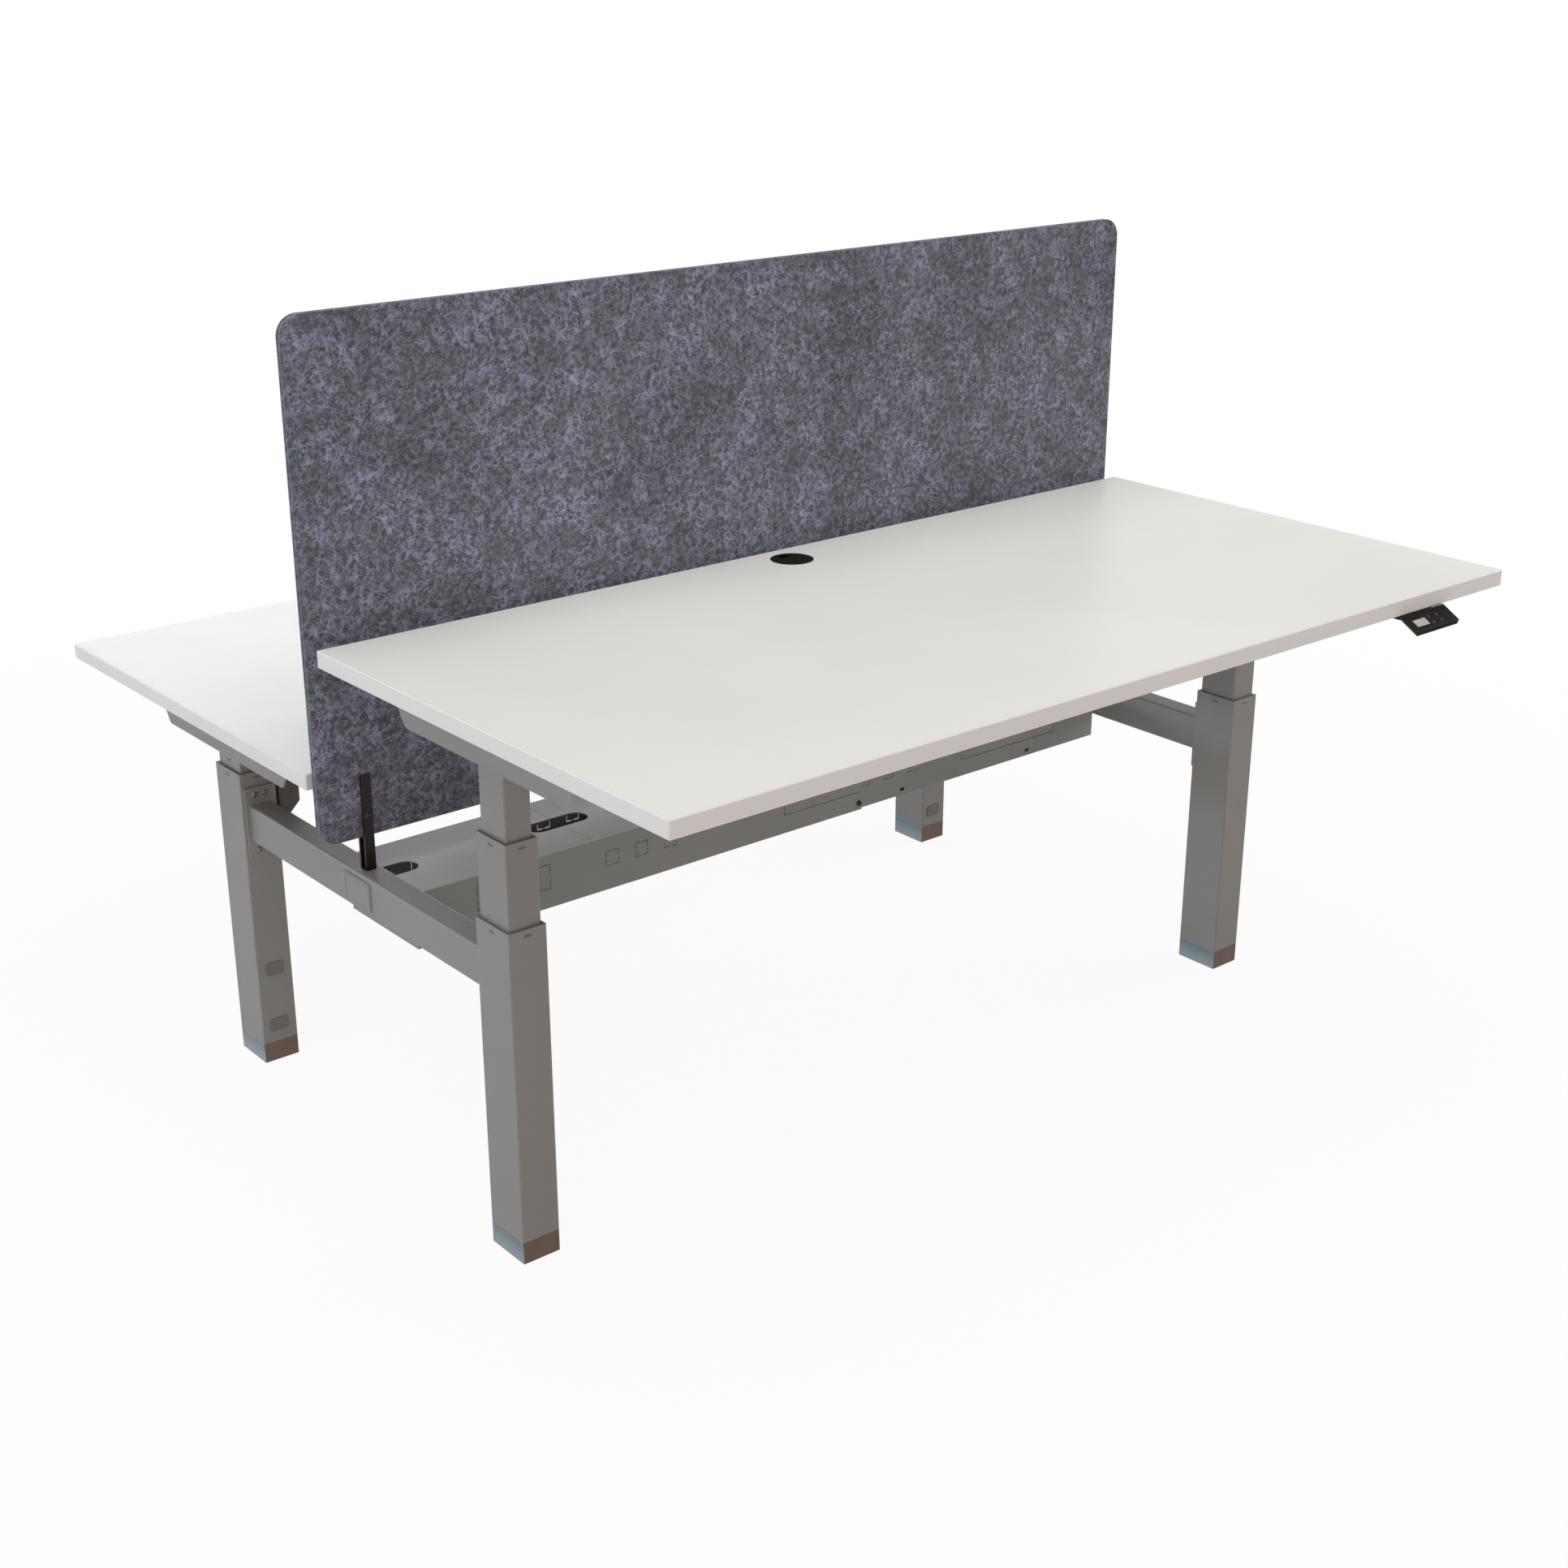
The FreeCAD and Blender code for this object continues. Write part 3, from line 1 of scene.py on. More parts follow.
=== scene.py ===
import math
import bmesh
import bpy
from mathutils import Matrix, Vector


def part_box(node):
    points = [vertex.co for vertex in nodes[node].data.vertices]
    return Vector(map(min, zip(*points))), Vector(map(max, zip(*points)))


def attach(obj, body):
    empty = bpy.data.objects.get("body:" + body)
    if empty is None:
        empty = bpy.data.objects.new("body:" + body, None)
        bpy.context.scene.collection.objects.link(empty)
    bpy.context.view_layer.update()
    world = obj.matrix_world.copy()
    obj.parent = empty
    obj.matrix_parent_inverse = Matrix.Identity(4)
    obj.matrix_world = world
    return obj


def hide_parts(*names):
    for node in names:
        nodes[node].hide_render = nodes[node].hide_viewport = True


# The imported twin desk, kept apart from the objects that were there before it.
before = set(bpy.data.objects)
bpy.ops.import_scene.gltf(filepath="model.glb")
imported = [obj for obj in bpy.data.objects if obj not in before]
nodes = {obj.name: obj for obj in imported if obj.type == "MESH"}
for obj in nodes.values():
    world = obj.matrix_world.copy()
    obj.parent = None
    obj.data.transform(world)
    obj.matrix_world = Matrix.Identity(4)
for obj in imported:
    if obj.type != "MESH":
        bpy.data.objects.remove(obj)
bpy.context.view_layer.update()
scene = bpy.context.scene

ROWS = ("front", "rear")
SIDES = ("left", "right")

# Sizes of the part that the added pieces and finishes are set against, in metres.
DESK_HALF_WIDTH = 0.8
DESK_HALF_DEPTH = 0.4
SCREEN_CORNER = 0.030
COLUMN_X = 0.727
COLUMN_Y = 0.378
DESK_STEP = 0.200
DESK_UNDERSIDE = 0.779
HANDSET_X = 0.594
PANEL_BACK = -0.8323
PANEL_TOP = 0.7787
PANEL_SLOPE = math.radians(30.0)
PANEL_MIDDLE = 0.0174
LIP_FRONT = -0.8300
MOTOR_X = (0.657, 0.693)
MOTOR_DEPTH = 0.080
MOTOR_CORNER = 0.003
ARM_WEB = 0.776
BOX_BACK = -0.548
TRAY_WALL = 0.0012
LID_SEAM = 0.399
PLATE_FACE = 0.749
PLATE_HEIGHT = 0.420

# Sizes of the added pieces, in metres. An outline is a width, a height and a corner. A section goes round
# a ridge as inset and rise. Steps go up the side of a plate as rise and inset.

# The screen's rim, from a face to the groove in the middle: share of half the thickness, and inset.
SCREEN_RIM = ((1.00, 0.0016), (0.98, 0.0007), (0.92, 0.0002), (0.84, 0.0), (0.20, 0.0), (0.13, 0.0004),
              (0.10, 0.0026))

# Handsets, motors, screws, sockets and cover plates.
FACE_OUTLINE = (0.1050, 0.0310, 0.003)
FACE_STEPS = ((-0.0001, 0.0), (0.00008, 0.0), (0.00012, 0.00008))
MARK_OUTLINE = (0.0013, 0.0056, 0.0005)
MARK_STEPS = ((0.00005, 0.0), (0.00018, 0.0), (0.00022, 0.0001))
MARKS_ACROSS = (0.0020, 0.0214)
MARKS_ALONG = (0.0137, 0.0259)
THUMB_OUTLINE = (0.0215, 0.0255, 0.0098)
THUMB_SECTION = ((0.0, 0.00005), (0.0004, 0.0004), (0.0009, 0.0004), (0.0013, 0.00005))
THUMB_ACROSS = 0.0380
LIP_OUTLINE = (0.1100, 0.0040, 0.0012)
LIP_STEPS = ((0.0, 0.0), (0.0009, 0.0), (0.0013, 0.0004))
LIP_MIDDLE = 0.0020
MOTOR_BANDS = (0.700, 0.735)
BAND_SECTION = ((0.0004, 0.0), (-0.0008, 0.0006), (-0.0008, 0.0044), (0.0004, 0.0050))
MOTOR_SCREWS = (0.660, 0.722)
MOTOR_SCREW_OFFSET = 0.028
MOTOR_SCREW_RADIUS = 0.0036
MOTOR_SCREW_HEIGHT = 0.0018
ARM_SCREWS = (-0.190, -0.110, 0.110, 0.190)
ARM_SCREW_RADIUS = 0.0050
ARM_SCREW_HEIGHT = 0.0026
SCREW_POINTS = 18
SOCKETS = (-0.080, -0.045, 0.020, 0.080)
SOCKET_RIMS = (
    ((0.0200, 0.0140, 0.002),
     ((0.0, -0.0002), (0.0, 0.0010), (0.0004, 0.0014), (0.0016, 0.0014), (0.0020, -0.0002))),
    ((0.0120, 0.0070, 0.001),
     ((0.0, -0.0002), (0.0, 0.0006), (0.0008, 0.0006), (0.0008, -0.0002))),
)
SOCKET_LEAST_CORNER = 0.0003
PLATE_OUTLINE = (0.0690, 0.0390, 0.0030)
PLATE_SECTION = ((0.0, -0.0002), (0.0004, 0.0006), (0.0012, 0.0006), (0.0016, -0.0002))
SOFT_EDGES = (("rail_cover_plates", 0.0012), ("tray_lids", 0.0004), ("screen_brackets", 0.0005))

# Heights between which a shoe's cheeks go from their darker to their lighter grey, in metres: painted
# shading, lighter towards the bottom.
CHEEK_PAINTED_SHADING = (0.036, 0.004)

# The middle of a noise's range, where most of its values lie.
NOISE_SPAN = (0.3, 0.7)


# Shader helpers


def put(tree, kind, links=None, **settings):
    """Add one shader node; links gives a socket a value or another node's output."""
    node = tree.nodes.new(kind)
    for name, value in settings.items():
        setattr(node, name, value)
    for name, value in (links or {}).items():
        socket = node.inputs[name]
        if isinstance(value, bpy.types.NodeSocket):
            tree.links.new(value, socket)
        else:
            socket.default_value = value
    return node


def figure(tree, operation, first, second=0.0):
    """The result of one sum on two values."""
    return put(tree, "ShaderNodeMath", {0: first, 1: second}, operation=operation).outputs[0]


def vector_figure(tree, operation, links, output="Vector"):
    """The result of one sum on vectors."""
    return put(tree, "ShaderNodeVectorMath", links, operation=operation).outputs[output]


def span(tree, value, low, high, to_low=0.0, to_high=1.0):
    """A value carried smoothly from one span to another."""
    links = {"Value": value, "From Min": low, "From Max": high, "To Min": to_low, "To Max": to_high}
    return put(tree, "ShaderNodeMapRange", links, interpolation_type="SMOOTHSTEP").outputs["Result"]


def dye(tree, factor, first, second, way="MIX"):
    """Two colours blended by a factor."""
    links = {0: factor, 6: first, 7: second}
    return put(tree, "ShaderNodeMix", links, data_type="RGBA", blend_type=way).outputs[2]


def rgb(red, green, blue):
    """A colour as it shows on screen, from 0 to 255, turned into the linear one that shaders use."""
    def linear(value):
        share = value / 255
        return share / 12.92 if share <= 0.04045 else ((share + 0.055) / 1.055) ** 2.4
    return (linear(red), linear(green), linear(blue), 1.0)


def place_in_part(tree):
    """The point's place in the part, in metres."""
    return put(tree, "ShaderNodeTexCoord").outputs["Object"]


def noise(tree, where, scale, detail=2.0, rough=0.5):
    """A cloudy value between 0 and 1."""
    links = {"Vector": where, "Scale": scale, "Detail": detail, "Roughness": rough}
    return put(tree, "ShaderNodeTexNoise", links).outputs["Fac"]


def wandering(tree, where, scale, reach):
    """A place moved about by slow noise, so that what is drawn there bends and curls."""
    links = {"Vector": where, "Scale": scale, "Detail": 2.0}
    drift = put(tree, "ShaderNodeTexNoise", links).outputs["Color"]
    centred = vector_figure(tree, "SUBTRACT", {0: drift, 1: (0.5, 0.5, 0.5)})
    moved = vector_figure(tree, "SCALE", {0: centred, "Scale": reach})
    return vector_figure(tree, "ADD", {0: where, 1: moved})


def new_group(name, inputs, outputs):
    """An empty shader group with named sockets."""
    group = bpy.data.node_groups.new(name, "ShaderNodeTree")
    for label, kind, value in inputs:
        group.interface.new_socket(label, in_out="INPUT", socket_type=kind).default_value = value
    for label, kind in outputs:
        group.interface.new_socket(label, in_out="OUTPUT", socket_type=kind)
    return group, group.nodes.new("NodeGroupInput"), group.nodes.new("NodeGroupOutput")


def use_group(tree, group, links):
    """Add one use of a shader group."""
    return put(tree, "ShaderNodeGroup", links, node_tree=group)


def new_material(name):
    """A material with a Principled shader and nothing else yet."""
    made = bpy.data.materials.new(name)
    made.use_nodes = True
    tree = made.node_tree
    tree.nodes.clear()
    output = tree.nodes.new("ShaderNodeOutputMaterial")
    shader = tree.nodes.new("ShaderNodeBsdfPrincipled")
    tree.links.new(shader.outputs["BSDF"], output.inputs["Surface"])
    return made, tree, shader


def bump_from(tree, shader, height, depth):
    """Feed a height to the shader's normal; depth is in metres."""
    links = {"Height": height, "Strength": 1.0, "Distance": depth}
    tree.links.new(put(tree, "ShaderNodeBump", links).outputs["Normal"], shader.inputs["Normal"])


# Effects that several finishes share


def grain_effect():
    """Fine grain of a coat or a moulding, with a slow change of tone over it."""
    group, start, end = new_group(
        "Grain and tone",
        [("Grain scale", "NodeSocketFloat", 900.0), ("Tone scale", "NodeSocketFloat", 5.0)],
        [("Grain", "NodeSocketFloat"), ("Tone", "NodeSocketFloat")])
    where = place_in_part(group)
    fine = noise(group, where, start.outputs["Grain scale"], 2.0, 0.6)
    coarse = noise(group, where, figure(group, "MULTIPLY", start.outputs["Grain scale"], 0.31), 1.0)
    grain = figure(group, "ADD", figure(group, "MULTIPLY", fine, 0.6), figure(group, "MULTIPLY", coarse, 0.4))
    group.links.new(grain, end.inputs["Grain"])
    group.links.new(noise(group, where, start.outputs["Tone scale"], 3.0, 0.55), end.inputs["Tone"])
    return group


def edge_wear_and_highlight_effect():
    """A mask that is 1 along outer and inner edges, where a coat is thinner and worn and where a highlight is
    painted.
    """
    group, start, end = new_group(
        "Worn and highlighted edges",
        [("Width", "NodeSocketFloat", 0.0015)],
        [("Mask", "NodeSocketFloat")])
    rounded = put(group, "ShaderNodeBevel", {"Radius": start.outputs["Width"]}, samples=4)
    flat = put(group, "ShaderNodeNewGeometry")
    links = {0: rounded.outputs["Normal"], 1: flat.outputs["Normal"]}
    along = vector_figure(group, "DOT_PRODUCT", links, "Value")
    group.links.new(span(group, along, 0.995, 0.85), end.inputs["Mask"])
    return group


def streak_effect():
    """Long fine scratches of a polished or drawn metal, running along Z."""
    group, start, end = new_group(
        "Drawn streaks",
        [("Scale", "NodeSocketFloat", 600.0)],
        [("Mask", "NodeSocketFloat")])
    links = {"Vector": place_in_part(group), "Scale": (1.0, 1.0, 0.02)}
    stretched = put(group, "ShaderNodeMapping", links).outputs["Vector"]
    group.links.new(noise(group, stretched, start.outputs["Scale"], 3.0, 0.6), end.inputs["Mask"])
    return group


def fibre_effect():
    """Curled fibres lying in one direction: a mask that is 1 along each fibre."""
    group, start, end = new_group(
        "Curled fibres",
        [("Place", "NodeSocketVector", (0.0, 0.0, 0.0)), ("Scale", "NodeSocketFloat", 70.0),
         ("Turn", "NodeSocketFloat", 0.0), ("Thickness", "NodeSocketFloat", 0.05)],
        [("Mask", "NodeSocketFloat")])
    links = {"Vector": start.outputs["Place"], "Angle": start.outputs["Turn"]}
    turned = put(group, "ShaderNodeVectorRotate", links, rotation_type="Y_AXIS").outputs["Vector"]
    drawn = vector_figure(group, "MULTIPLY", {0: turned, 1: (1.0, 1.0, 0.36)})
    field = noise(group, drawn, start.outputs["Scale"], 1.0, 0.4)
    away = figure(group, "ABSOLUTE", figure(group, "SUBTRACT", field, 0.5))
    group.links.new(span(group, away, start.outputs["Thickness"], 0.0), end.inputs["Mask"])
    return group


GRAIN = grain_effect()
EDGE_WEAR_AND_HIGHLIGHT = edge_wear_and_highlight_effect()
STREAKS = streak_effect()
FIBRES = fibre_effect()


# Finishes

# Scale, direction and thickness of the felt's layers of fibres.
FIBRE_LAYERS = ((66.0, 0.35, 0.045), (88.0, 1.25, 0.045), (76.0, 2.20, 0.045), (118.0, 2.75, 0.045))


def toned(tree, surface, shade, colour):
    """Two shades of a colour blended by the slow change of tone."""
    return dye(tree, span(tree, surface.outputs["Tone"], *NOISE_SPAN), shade, colour)


def roughen(tree, shader, surface, low, high):
    """Let the roughness follow the grain between two limits."""
    rough = span(tree, surface.outputs["Grain"], *NOISE_SPAN, low, high)
    tree.links.new(rough, shader.inputs["Roughness"])


def coat(name, colour, shade, roughness, grain, depth, shine,
         edge=0.0, edge_colour=(1, 1, 1, 1), metallic=0.0):
    """A painted or moulded finish: grain, a slow change of tone, and lighter edges that are partly wear and
    partly a painted highlight.
    """
    made, tree, shader = new_material(name)
    surface = use_group(tree, GRAIN, {"Grain scale": grain, "Tone scale": 4.0})
    tone = figure(tree, "ADD", figure(tree, "MULTIPLY", surface.outputs["Tone"], 0.7),
                  figure(tree, "MULTIPLY", surface.outputs["Grain"], 0.3))
    body = dye(tree, span(tree, tone, *NOISE_SPAN), shade, colour)
    # Lighter edges: partly wear, partly a painted highlight.
    if edge:
        edge_wear_and_highlight = use_group(tree, EDGE_WEAR_AND_HIGHLIGHT, {"Width": 0.0012})
        body = dye(tree, figure(tree, "MULTIPLY", edge_wear_and_highlight.outputs["Mask"], edge), body, edge_colour)
    tree.links.new(body, shader.inputs["Base Color"])
    roughen(tree, shader, surface, roughness - 0.06, roughness + 0.06)
    shader.inputs["Metallic"].default_value = metallic
    shader.inputs["Specular IOR Level"].default_value = shine
    bump_from(tree, shader, surface.outputs["Grain"], depth)
    return made


def polished(name, colour, shade, roughness):
    """A bare metal with fine streaks."""
    made, tree, shader = new_material(name)
    streaks = use_group(tree, STREAKS, {"Scale": 500.0}).outputs["Mask"]
    surface = use_group(tree, GRAIN, {"Grain scale": 300.0, "Tone scale": 14.0})
    mixed = figure(tree, "ADD", figure(tree, "MULTIPLY", streaks, 0.5),
                   figure(tree, "MULTIPLY", surface.outputs["Tone"], 0.5))
    tree.links.new(dye(tree, span(tree, mixed, *NOISE_SPAN), shade, colour), shader.inputs["Base Color"])
    rough = span(tree, streaks, 0.2, 0.8, roughness - 0.05, roughness + 0.08)
    tree.links.new(rough, shader.inputs["Roughness"])
    shader.inputs["Metallic"].default_value = 1.0
    bump_from(tree, shader, streaks, 0.00003)
    return made


def sheet_coat(name, colour, shade, edge_colour):
    """The start of a thin sheet's finish; its painted colour is given back to be linked."""
    made, tree, shader = new_material(name)
    surface = use_group(tree, GRAIN, {"Grain scale": 1500.0, "Tone scale": 4.0})
    edge_wear_and_highlight = use_group(tree, EDGE_WEAR_AND_HIGHLIGHT, {"Width": 0.0008})
    painted = toned(tree, surface, shade, colour)
    # Lighter edges: partly wear, partly a painted highlight.
    painted = dye(tree, figure(tree, "MULTIPLY", edge_wear_and_highlight.outputs["Mask"], 0.25), painted, edge_colour)
    roughen(tree, shader, surface, 0.36, 0.48)
    shader.inputs["Specular IOR Level"].default_value = 0.35
    bump_from(tree, shader, surface.outputs["Grain"], 0.00006)
    return made, tree, shader, painted


def tray_finish(name, trough):
    """A trough's coat outside, and unpainted galvanised metal inside its walls, painted pale as painted light
    inside the closed trough.
    """
    made, tree, shader, painted = sheet_coat(name, rgb(141, 142, 139), rgb(136, 137, 134), rgb(163, 165, 163))
    low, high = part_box(trough)
    spangle = noise(tree, place_in_part(tree), 160.0, 1.0)
    # Painted light: the bare metal inside is painted pale, standing in for light inside the trough.
    pale_zinc_painted_light = dye(tree, span(tree, spangle, 0.35, 0.65), rgb(206, 207, 205), rgb(222, 223, 222))
    where = put(tree, "ShaderNodeSeparateXYZ", {0: place_in_part(tree)})
    inside_painted_light_mask = 1.0
    for axis in "XYZ":
        place = where.outputs[axis]
        after = figure(tree, "GREATER_THAN", place, getattr(low, axis.lower()) + TRAY_WALL)
        before = figure(tree, "LESS_THAN", place, getattr(high, axis.lower()) - TRAY_WALL)
        inside_painted_light_mask = figure(tree, "MULTIPLY", inside_painted_light_mask, figure(tree, "MULTIPLY", after, before))
    tree.links.new(dye(tree, inside_painted_light_mask, painted, pale_zinc_painted_light), shader.inputs["Base Color"])
    return made


def lid_finish():
    """The lids' coat, painted lighter than the tray's as painted light on the tray's top, and a line of
    painted shade along the joint of an end lid and a middle lid.
    """
    # Painted light: the lids' grey is lighter than the tray's, standing in for light on the tray's top.
    made, tree, shader, painted = sheet_coat("lid_coat_painted_light", rgb(183, 183, 180), rgb(177, 177, 174),
                                             rgb(198, 199, 197))
    where = put(tree, "ShaderNodeSeparateXYZ", {0: place_in_part(tree)})
    along = figure(tree, "SUBTRACT", figure(tree, "ABSOLUTE", where.outputs["X"]), LID_SEAM)
    # Painted shade: a dark line along the joint of the lids.
    joint = span(tree, figure(tree, "ABSOLUTE", along), 0.0010, 0.0004, 0.0, 0.7)
    tree.links.new(dye(tree, joint, painted, rgb(92, 92, 90)), shader.inputs["Base Color"])
    return made


def shoe_finish():
    """A polished metal shoe painted with a reflection: blue-grey cheeks that are painted lighter towards the
    bottom, brown ends, and a painted highlight along its edges.
    """
    made, tree, shader = new_material("shoe_polish_painted_reflection")
    surface = use_group(tree, GRAIN, {"Grain scale": 2200.0, "Tone scale": 12.0})
    streaks = use_group(tree, STREAKS, {"Scale": 420.0}).outputs["Mask"]
    edge_wear_and_highlight = use_group(tree, EDGE_WEAR_AND_HIGHLIGHT, {"Width": 0.0016})
    where = put(tree, "ShaderNodeSeparateXYZ", {0: place_in_part(tree)})
    facing = put(tree, "ShaderNodeSeparateXYZ", {0: put(tree, "ShaderNodeNewGeometry").outputs["Normal"]})
    # Painted reflection: faces turned along Y get brown ends, the others blue-grey cheeks.
    end_face = span(tree, figure(tree, "ABSOLUTE", facing.outputs["Y"]), 0.6, 0.8)
    # Painted shading: the cheeks are lighter towards the bottom.
    painted_shading_downward = span(tree, where.outputs["Z"], *CHEEK_PAINTED_SHADING)
    painted_reflection_cheeks = dye(tree, painted_shading_downward, rgb(102, 113, 122), rgb(127, 139, 144))
    brown = toned(tree, surface, rgb(94, 76, 66), rgb(100, 82, 72))
    body = dye(tree, end_face, painted_reflection_cheeks, brown)
    body = dye(tree, span(tree, streaks, 0.35, 0.75, 0.0, 0.06), body, rgb(126, 126, 128))
    # Painted highlight: a bright blue-grey line along the edges.
    body = dye(tree, figure(tree, "MULTIPLY", edge_wear_and_highlight.outputs["Mask"], 0.5), body, rgb(168, 180, 194))
    tree.links.new(body, shader.inputs["Base Color"])
    roughen(tree, shader, surface, 0.20, 0.30)
    shader.inputs["Metallic"].default_value = 0.85
    bump_from(tree, shader, surface.outputs["Grain"], 0.00001)
    return made


def board(name, middle_y):
    """White melamine-faced board: fine pearl texture, and an edge band with its joint line."""
    made, tree, shader = new_material(name)
    surface = use_group(tree, GRAIN, {"Grain scale": 650.0, "Tone scale": 2.0})
    where = put(tree, "ShaderNodeSeparateXYZ", {0: place_in_part(tree)})
    across = figure(tree, "ABSOLUTE", where.outputs["X"])
    along = figure(tree, "ABSOLUTE", figure(tree, "SUBTRACT", where.outputs["Y"], middle_y))
    inset = figure(tree, "MINIMUM", figure(tree, "SUBTRACT", DESK_HALF_WIDTH, across),
                   figure(tree, "SUBTRACT", DESK_HALF_DEPTH, along))
    joint = figure(tree, "MULTIPLY", span(tree, inset, 0.0014, 0.0020), span(tree, inset, 0.0028, 0.0022))
    band = span(tree, inset, 0.0022, 0.0018)
    face = toned(tree, surface, rgb(226, 225, 221), rgb(231, 230, 227))
    body = dye(tree, band, face, rgb(231, 230, 229))
    body = dye(tree, figure(tree, "MULTIPLY", joint, 0.35), body, rgb(176, 174, 170))
    tree.links.new(body, shader.inputs["Base Color"])
    roughen(tree, shader, surface, 0.34, 0.46)
    shader.inputs["Specular IOR Level"].default_value = 0.3
    bump_from(tree, shader, surface.outputs["Grain"], 0.00004)
    return made


def felt(name, ground_dark, ground_light, fibre, pit):
    """Pressed felt: a mottled ground, light fibres gathered in wisps, and dark pits."""
    made, tree, shader = new_material(name)
    where = place_in_part(tree)
    bent = wandering(tree, where, 60.0, 0.016)
    drift = noise(tree, where, scale=4.0, detail=2.0, rough=0.55)
    patches = noise(tree, bent, scale=22.0, detail=2.0, rough=0.6)
    wisps = noise(tree, where, scale=120.0, detail=4.0, rough=0.65)
    speck = noise(tree, where, scale=360.0, detail=1.0, rough=0.6)
    fibres = None
    for scale, turn, thickness in FIBRE_LAYERS:
        links = {"Place": bent, "Scale": scale, "Turn": turn, "Thickness": thickness}
        strand = use_group(tree, FIBRES, links).outputs["Mask"]
        fibres = strand if fibres is None else figure(tree, "MAXIMUM", fibres, strand)
    gather = figure(tree, "MULTIPLY", span(tree, patches, 0.32, 0.68, 0.22, 0.85),
                    span(tree, wisps, 0.34, 0.62, 0.2, 1.0))
    ground = dye(tree, span(tree, wisps, 0.25, 0.75), ground_dark, ground_light)
    ground = dye(tree, span(tree, speck, 0.56, 0.34, 0.0, 0.6), ground, pit)
    lit = figure(tree, "MULTIPLY", fibres, gather)
    body = dye(tree, lit, ground, fibre)
    shade = span(tree, drift, 0.30, 0.65, 0.80, 1.14)
    grey = put(tree, "ShaderNodeCombineColor", {0: shade, 1: shade, 2: shade}).outputs[0]
    tree.links.new(dye(tree, 1.0, body, grey, "MULTIPLY"), shader.inputs["Base Color"])
    shader.inputs["Roughness"].default_value = 0.95
    shader.inputs["Specular IOR Level"].default_value = 0.1
    shader.inputs["Sheen Weight"].default_value = 0.15
    shader.inputs["Sheen Roughness"].default_value = 0.5
    bump_from(tree, shader, figure(tree, "ADD", figure(tree, "MULTIPLY", speck, 0.4), wisps), 0.0007)
    return made


def display_window():
    """A pale and slightly glossy display."""
    made, tree, shader = new_material("display_window")
    surface = use_group(tree, GRAIN, {"Grain scale": 500.0, "Tone scale": 60.0})
    pale = toned(tree, surface, rgb(164, 161, 158), rgb(180, 178, 174))
    tree.links.new(pale, shader.inputs["Base Color"])
    roughen(tree, shader, surface, 0.18, 0.26)
    return made


frame_coat = coat("frame_coat", rgb(141, 140, 138), rgb(135, 134, 132), roughness=0.52, grain=1500.0,
                  depth=0.00006, shine=0.35, edge=0.35, edge_colour=rgb(168, 171, 170))
lid_coat_painted_light = lid_finish()
tube_coat = coat("tube_coat", rgb(138, 137, 135), rgb(132, 131, 129), roughness=0.34, grain=1300.0,
                 depth=0.00004, shine=0.35, edge=0.35, edge_colour=rgb(168, 171, 170))
bracket_gloss = coat("bracket_gloss", rgb(29, 19, 17), rgb(24, 15, 13), roughness=0.30, grain=700.0,
                     depth=0.00003, shine=0.20, edge=0.25, edge_colour=rgb(62, 56, 53))
black_plastic = coat("black_plastic", rgb(19, 16, 14), rgb(15, 12, 11), roughness=0.45, grain=1100.0,
                     depth=0.00006, shine=0.05, edge=0.3, edge_colour=rgb(50, 47, 44))
black_screw = coat("black_screw", rgb(30, 28, 27), rgb(24, 22, 21), roughness=0.32, grain=700.0,
                   depth=0.00003, shine=0.35, edge=0.3, edge_colour=rgb(70, 67, 64))
plug_plastic = coat("plug_plastic", rgb(118, 116, 114), rgb(112, 110, 108), roughness=0.5, grain=1100.0,
                    depth=0.00005, shine=0.3, edge=0.3, edge_colour=rgb(140, 139, 137))
bush_plastic = coat("bush_plastic", rgb(110, 108, 106), rgb(102, 100, 98), roughness=0.55, grain=1100.0,
                    depth=0.00005, shine=0.3)
motor_coat = coat("motor_coat", rgb(96, 94, 92), rgb(88, 86, 84), roughness=0.48, grain=1200.0,
                  depth=0.00006, shine=0.3, edge=0.25, edge_colour=rgb(120, 118, 116))
gear_cast = coat("gear_cast", rgb(150, 150, 150), rgb(138, 138, 138), roughness=0.5, grain=420.0,
                 depth=0.00012, shine=0.5, metallic=0.8)
pad_rubber = coat("pad_rubber", rgb(38, 38, 38), rgb(32, 32, 32), roughness=0.75, grain=600.0,
                  depth=0.0001, shine=0.3)
shoe_polish_painted_reflection = shoe_finish()
bright_steel = polished("bright_steel", rgb(176, 176, 174), rgb(160, 160, 158), roughness=0.28)
bolt_zinc = coat("bolt_zinc", rgb(126, 121, 117), rgb(114, 109, 105), roughness=0.44, grain=500.0,
                 depth=0.00004, shine=0.5, edge=0.3, edge_colour=rgb(158, 155, 151), metallic=0.7)
face_gloss = coat("face_gloss", rgb(16, 12, 10), rgb(13, 10, 8), roughness=0.30, grain=600.0,
                  depth=0.00001, shine=0.03)
mark_print = coat("mark_print", rgb(104, 102, 98), rgb(94, 92, 88), roughness=0.5, grain=900.0,
                  depth=0.00001, shine=0.3)
felt_cloth = felt("pressed_felt", ground_dark=rgb(77, 76, 81), ground_light=rgb(118, 121, 136),
                  fibre=rgb(155, 165, 191), pit=rgb(52, 48, 46))
felt_edge = felt("felt_cut_edge", ground_dark=rgb(78, 82, 90), ground_light=rgb(108, 115, 128),
                 fibre=rgb(142, 152, 171), pit=rgb(56, 57, 60))
display_pane = display_window()


def dress(finish, *names):
    """Give CAD pieces a finish."""
    for name in names:
        shape = nodes[name].data
        shape.materials.clear()
        shape.materials.append(finish)


